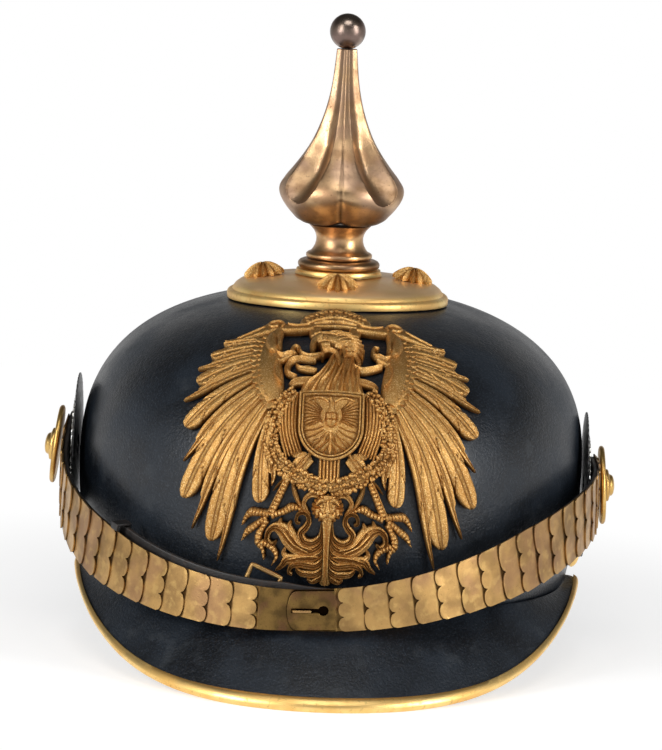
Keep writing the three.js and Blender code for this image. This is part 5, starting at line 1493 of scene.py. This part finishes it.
# ---- Clasp --------------------------------------------------------------------------------------
# The strap fastens in front: a round-nosed tongue from the right half lies on a smooth plate, and a
# bent hook from the plate comes up through the tongue's keyhole. All three are plain worn brass.
CLASP_FROM = -11.8
CLASP_SPAN = 14.6
TONGUE_NOSE = -14.2
TONGUE_HALF = 6.6
TONGUE_ROUND = 0.6 * TONGUE_HALF
TONGUE_SHADOW = 0.45
TONGUE_OVER = 3.9


def clasp_finish():
    brass = Finish("Worn clasp brass", "aged_brass", Metallic=1.0)
    cloud = brass.noise(5, 5)
    pits = brass.noise(0.6, 5).between(0.56, 0.72)
    return brass.feed(
        Base_Color=brass.coats(
            brass.blend(cloud.between(0.35, 0.65), (124, 98, 58), (88, 70, 44)),
            (brass.noise(8, 3).between(0.5, 0.64) * 0.5, (108, 76, 58)),
            (pits * 0.4, (66, 54, 34)),
            # Painted shade by the tongue's edge, where the plate's tone is high.
            (brass.tone(), (22, 16, 10)),
        ),
        Roughness=cloud.between(0.3, 0.7, 0.36, 0.5),
        Normal=brass.grain(brass.noise(0.5, 3) - pits * 0.4, 0.06),
    )


clasp_brass = clasp_finish()


def clasp_plate_place(s, t):
    """The plate's sheet, with both of its ends tucked under the scales beside it."""
    degrees = CLASP_FROM + CLASP_SPAN * s
    tucked = ramp(degrees, -10.6, -11.1) + ramp(degrees, 1.5, 2)
    return on_strap(degrees, strap_width(degrees) / 2 * (2 * t - 1), -0.5 - 0.4 * tucked)


def clasp_plate_tone(s, t):
    """Painted shade under the tongue and along its edge on the plate."""
    degrees = CLASP_FROM + CLASP_SPAN * s
    along = degrees * np.linalg.norm(strap_spot(1.0) - strap_spot(0.0))
    bend = np.minimum(along - (TONGUE_NOSE + TONGUE_ROUND), 0) / TONGUE_ROUND
    side = (2 * t - 1) * strap_width(degrees) / 2 / TONGUE_HALF
    outside = (np.hypot(bend, side) - 1) * TONGUE_ROUND
    # Painted shade that fades out from the tongue's edge.
    painted_edge_shade = np.exp(-((np.maximum(outside, 0) / TONGUE_SHADOW) ** 2))
    return np.where(along > TONGUE_OVER, 0.0, painted_edge_shade)


clasp_plate = draped("clasp_plate_sheet", 160, 48, clasp_plate_place, clasp_plate_tone)
thicken(clasp_plate, 0.6)
soften(clasp_plate, 0.12, 2, 50)
dress(clasp_plate, clasp_brass, "clasp_plate")


def refined(name, node, width):
    """A copy of a CAD piece, welded and with its edges rounded."""
    piece = copied(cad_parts[node], name)
    with editing(piece):
        bpy.ops.mesh.remove_doubles(threshold=0.01 * MM)
        bpy.ops.mesh.dissolve_limited(angle_limit=math.radians(1.5))
    soften(piece, width, 3, 30)
    return piece


dress(refined("clasp_tongue_sheet", "clasp_tongue", 0.12), clasp_brass, "clasp_tongue")
dress(refined("clasp_hook_bent", "clasp_hook", 0.16), aged_brass, "clasp_hook")


# ---- Adjusting strap, keeper and buckle ---------------------------------------------------------
# A narrow brown-black strap runs behind the scales. Its end passes through a leather keeper at the
# left, and a frame buckle of bent brass wire stands up from it beside the clasp.
ADJUSTER_FROM = -46
ADJUSTER_SPAN = 51
ADJUSTER_WIDTH = 5
ADJUSTER_ABOVE = 1.6
ADJUSTER_DROP = 2.6
ADJUSTER_DEPTH = -3.5
BUCKLE_ANGLE = -11
BUCKLE_UP = 7.6
BUCKLE_BEHIND = 5.8
BUCKLE_TILT = math.radians(20)
BUCKLE_HALF_WIDTH = 6.2
BUCKLE_HALF_HEIGHT = 5.2
BUCKLE_CORNERS = 24
WIRE = 0.85
WIRE_RING = 6


def adjuster_place(s, t):
    degrees = ADJUSTER_FROM + ADJUSTER_SPAN * s
    top = strap_width(degrees) / 2 + ADJUSTER_ABOVE - ADJUSTER_DROP * ramp(degrees, -6, 2)
    return on_strap(degrees, top - ADJUSTER_WIDTH * (1 - t), ADJUSTER_DEPTH)


adjuster = draped("adjusting_strap_strip", 90, 8, adjuster_place)
thicken(adjuster, 1.5)
soften(adjuster, 0.4, 3, 50)
dress(adjuster, strap_leather, "adjusting_strap")
dress(refined("strap_keeper_loop", "strap_keeper", 0.25), strap_leather, "strap_keeper")


def squared_wire(spots):
    """Turns a round ring of wire into a square-cornered frame that stands tilted behind the scales."""
    along, out, across = strap_directions(BUCKLE_ANGLE)
    sideways = along * math.cos(BUCKLE_TILT) - across * math.sin(BUCKLE_TILT)
    upward = across * math.cos(BUCKLE_TILT) + along * math.sin(BUCKLE_TILT)
    radius = np.hypot(spots[:, 0], spots[:, 1])
    way = spots[:, :2] / radius[:, None]
    square = (np.abs(way) ** BUCKLE_CORNERS).sum(axis=1, keepdims=True) ** (-1 / BUCKLE_CORNERS)
    run = way * square * (BUCKLE_HALF_WIDTH - WIRE, BUCKLE_HALF_HEIGHT - WIRE)
    x, y = (run + unit(way**3 + 1e-6) * (radius - WIRE_RING)[:, None]).T[..., None]
    return on_strap(BUCKLE_ANGLE, BUCKLE_UP, -BUCKLE_BEHIND) + sideways * x + upward * y + out * spots[:, 2:]


select_only()
bpy.ops.mesh.primitive_torus_add(
    major_segments=144, minor_segments=14, major_radius=WIRE_RING * MM, minor_radius=WIRE * MM)
buckle = named("adjusting_buckle_frame")
move_vertices(buckle, squared_wire)
merge_and_turn_out(buckle, 0.001)
write_tone(buckle)
dress(buckle, aged_brass, "adjusting_buckle", angle=60)


# ---- Cockades, rosettes and studs ---------------------------------------------------------------
# At each side a black pleated cockade with a silvered ring lies on the skull. A dished brass rosette
# with a stepped boss holds the strap's end over it, and a domed stud ends the visor's trim.
# Corners of each lathe section: radius and height.
ROSETTE_SECTION = [
    (0, 0), (13.2, 0), (13.8, 0.3), (14, 0.8), (13.8, 1.4), (13.2, 1.8), (12.4, 1.8), (11.6, 1.5),
    (10.6, 1.4), (9.6, 1.6), (8.4, 1.9), (7, 2), (0, 2)]
BOSS_SECTION = [
    (0, 0), (5.7, 0), (5.75, 0.5), (5.4, 0.9), (4.4, 1.15), (3.9, 1.4), (3.7, 2), (3.2, 2.5), (2.3, 2.8),
    (1.2, 3), (0, 3.05)]
STUD_SECTION = [(0, 0), (4.2, 0), (4.3, 0.5), (4, 1.2), (3.4, 1.9), (2.5, 2.5), (1.3, 2.95), (0, 3.1)]
ROSETTE_RADIUS = 14
ROSETTE_OFF = 5.4
BOSS_UP = 2.3
STUD_ANGLE = 88.5
STUD_HEIGHT = 30.0


def black_paint_finish():
    paint = Finish("Black enamel", "black_paint", Coat_Weight=0.4, Coat_Roughness=0.2)
    chips = paint.noise(1.1, 4).between(0.6, 0.7)
    tint = paint.blend(paint.noise(5, 3), (9, 9, 11), (20, 20, 22))
    return paint.feed(
        Base_Color=paint.blend(chips * 0.3, tint, (96, 94, 88)),
        Roughness=paint.noise(3, 3).between(0.3, 0.7, 0.3, 0.5),
        Normal=paint.grain(paint.noise(0.5, 3), 0.06),
    )


def silver_finish():
    silver = Finish("Silvered brass", "silver", Metallic=1.0)
    dull = silver.noise(4, 4).between(0.4, 0.66)
    return silver.feed(
        Base_Color=silver.blend(dull, (226, 226, 222), (164, 160, 152)),
        Roughness=dull.between(0, 1, 0.22, 0.42),
        Normal=silver.grain(silver.noise(0.5, 3), 0.04),
    )


black_paint = black_paint_finish()
silver = silver_finish()
side_gold = satin_gold_finish("Rosette brass", "aged_brass", (226, 186, 112), (188, 146, 82), 0.34)


def face_out(spots, side, seat, lean=0):
    """Turns a piece made face up so that it faces out from the helmet's side, at the strap's pivot."""
    turn = side * (math.pi / 2 - math.radians(lean))
    _, y, z = strap_spot(side * STRAP_END)
    across = spots[:, 0] * math.cos(turn) + spots[:, 2] * math.sin(turn) + side * seat
    upward = spots[:, 2] * math.cos(turn) - spots[:, 0] * math.sin(turn) + z
    return np.stack((across, spots[:, 1] + y, upward), axis=-1)


def pleated(name, side, seat, inner, outer, thickness, pleats, depth):
    """A ring of sharp pleats, thin and hollow-backed."""

    def place(s, t):
        fold = np.abs((s * pleats) % 1 - 0.5) * 2
        top = ramp(t, 0, 0.46)
        radius = np.where(t < 0.5, inner + (outer - inner) * top, outer - (outer - inner) * ramp(t, 0.54))
        radius = radius + np.where((t > 0.4) & (t < 0.6), 0.3 * (fold - 0.5), 0)
        crown = thickness * np.sin(np.pi * np.clip(0.15 + 0.85 * top, 0, 1)) ** 0.5
        z = np.where(t < 0.5, 0.25 + crown * 0.75 + depth * fold, 0.1)
        turn = 2 * np.pi * s
        return face_out(np.stack((radius * np.cos(turn), radius * np.sin(turn), z), axis=-1), side, seat)

    return draped(name, pleats * 6, 28, place, closed=True)


def fitting(name, section, steps, side, seat, lean):
    """A turned piece that faces out from the helmet's side."""
    piece = spun(name, section, steps, base=0)
    move_vertices(piece, lambda spots: face_out(spots, side, seat, lean))
    merge_and_turn_out(piece)
    return piece


for label, side, lean in (("left", -1, 6), ("right", 1, 3)):
    cockade = pleated(f"cockade_pleats_{label}", side, HALF_WIDTH + 0.3, 4, 25.7, 0.5, 56, 0.3)
    dress(cockade, black_paint, f"cockade_{label}", angle=25)
    ring = pleated(f"cockade_ring_pleats_{label}", side, HALF_WIDTH + 1.5, 11, 17.3, 0.25, 44, 0.2)
    dress(ring, silver, f"cockade_ring_{label}", angle=25)
    seat = HALF_WIDTH + ROSETTE_OFF + ROSETTE_RADIUS * math.sin(math.radians(lean))
    rosette = fitting(f"rosette_dish_{label}", ROSETTE_SECTION, 72, side, seat, lean)
    dress(rosette, side_gold, f"rosette_{label}", angle=50)
    boss = fitting(f"rosette_boss_cap_{label}", BOSS_SECTION, 72, side, seat + BOSS_UP, lean)
    dress(boss, side_gold, f"rosette_boss_{label}", angle=50)
    stud_seat = round_skull(np.array(side * STUD_ANGLE), np.array(STUD_HEIGHT), 0.5)
    stud = spun(f"trim_stud_dome_{label}", STUD_SECTION, 48, base=0)
    move_vertices(stud, lambda spots: spots[:, ::-1] * (side, 1, -side) + stud_seat)
    merge_and_turn_out(stud)
    dress(stud, satin_gold, f"trim_stud_{label}", angle=50)


# ---- Floor, light and camera --------------------------------------------------------------------
# A pale floor with a painted glow that grows to white away from the helmet, two tall softboxes beside the
# camera that leave a darker strip between them in the polished metal, and a weaker one high in front.
FLOOR_RADIUS = 0.62
FADE_FROM = 120
FADE_TO = 260


def pale_floor():
    select_only()
    bpy.ops.mesh.primitive_circle_add(vertices=96, radius=FLOOR_RADIUS, fill_type="NGON")
    floor = named("floor")
    # The floor glows: painted light, dimmer near the helmet and white from 260 mm out, which lightens the
    # helmet's shadow on it and blends the floor into the white backdrop.
    glowing_paper = Finish("Pale paper", Roughness=0.9, Emission_Strength=1.0, Specular_IOR_Level=0.1)
    glow_share = glowing_paper.distance(glowing_paper.spot).between(FADE_FROM, FADE_TO)
    glowing_paper.feed(
        Base_Color=glowing_paper.blend(glow_share, (190, 190, 190), (0, 0, 0)),
        Emission_Color=glowing_paper.blend(glow_share, (205, 205, 205), (255, 255, 255)),
    )
    floor.data.materials.append(glowing_paper.material)


# Softboxes: name, place, width, height and power. All face the helmet's middle.
SOFTBOXES = [
    ("softbox left", (-1.05, -0.95, 0.6), 0.5, 1.0, 16),
    ("softbox right", (1.15, -0.75, 0.5), 0.4, 1.0, 13),
    ("overhead", (0, -0.72, 1.5), 0.9, 0.7, 6),
]
LIGHT_TARGET = Vector((0, 0, 0.1))


def softbox(name, place, width, height, power):
    light = bpy.data.lights.new(name, "AREA")
    light.shape = "RECTANGLE"
    light.size = width
    light.size_y = height
    light.energy = power
    lamp = bpy.data.objects.new(name, light)
    bpy.context.collection.objects.link(lamp)
    lamp.location = place
    lamp.rotation_euler = (LIGHT_TARGET - Vector(place)).to_track_quat("-Z", "Y").to_euler()


def backdrop():
    """White where the camera sees it; as light, bright along the horizon and darker overhead."""
    world = bpy.data.worlds.new("Studio")
    bpy.context.scene.world = world
    world.use_nodes = True
    nodes = world.node_tree.nodes
    links = world.node_tree.links
    split = nodes.new("ShaderNodeSeparateXYZ")
    links.new(nodes.new("ShaderNodeTexCoord").outputs["Generated"], split.inputs[0])
    horizon = nodes.new("ShaderNodeMapRange")
    horizon.interpolation_type = "SMOOTHSTEP"
    for key, value in (("From Min", 0.05), ("From Max", 0.5), ("To Min", 0.62), ("To Max", 0.07)):
        horizon.inputs[key].default_value = value
    links.new(split.outputs[2], horizon.inputs["Value"])
    strength = nodes.new("ShaderNodeMath")
    strength.operation = "MAXIMUM"
    links.new(nodes.new("ShaderNodeLightPath").outputs["Is Camera Ray"], strength.inputs[0])
    links.new(horizon.outputs[0], strength.inputs[1])
    links.new(strength.outputs[0], nodes["Background"].inputs["Strength"])
    nodes["Background"].inputs["Color"].default_value = (1, 1, 1, 1)


pale_floor()
for row in SOFTBOXES:
    softbox(*row)
backdrop()

CAMERA_DISTANCE = 1.5
CAMERA_RISE = math.radians(8.5)
CAMERA_SIDE = math.radians(0.3)
CAMERA_ROLL = math.radians(2.25)
CAMERA_LENS = 227.2
CAMERA_SENSOR = 36
CAMERA_TARGET = Vector((-0.0012, 0, 0.0914))
camera_data = bpy.data.cameras.new("camera")
camera = bpy.data.objects.new("camera", camera_data)
bpy.context.collection.objects.link(camera)
camera_data.sensor_fit = "HORIZONTAL"
camera_data.sensor_width = CAMERA_SENSOR
camera_data.lens = CAMERA_LENS
away = Vector((
    math.sin(CAMERA_SIDE) * math.cos(CAMERA_RISE), -math.cos(CAMERA_SIDE) * math.cos(CAMERA_RISE),
    math.sin(CAMERA_RISE)))
camera.location = CAMERA_TARGET + away * CAMERA_DISTANCE
facing = (-away).to_track_quat("-Z", "Y").to_matrix().to_4x4()
camera.rotation_euler = (facing @ Matrix.Rotation(CAMERA_ROLL, 4, "Z")).to_euler()
bpy.context.scene.camera = camera
bpy.context.scene.view_settings.view_transform = "Standard"
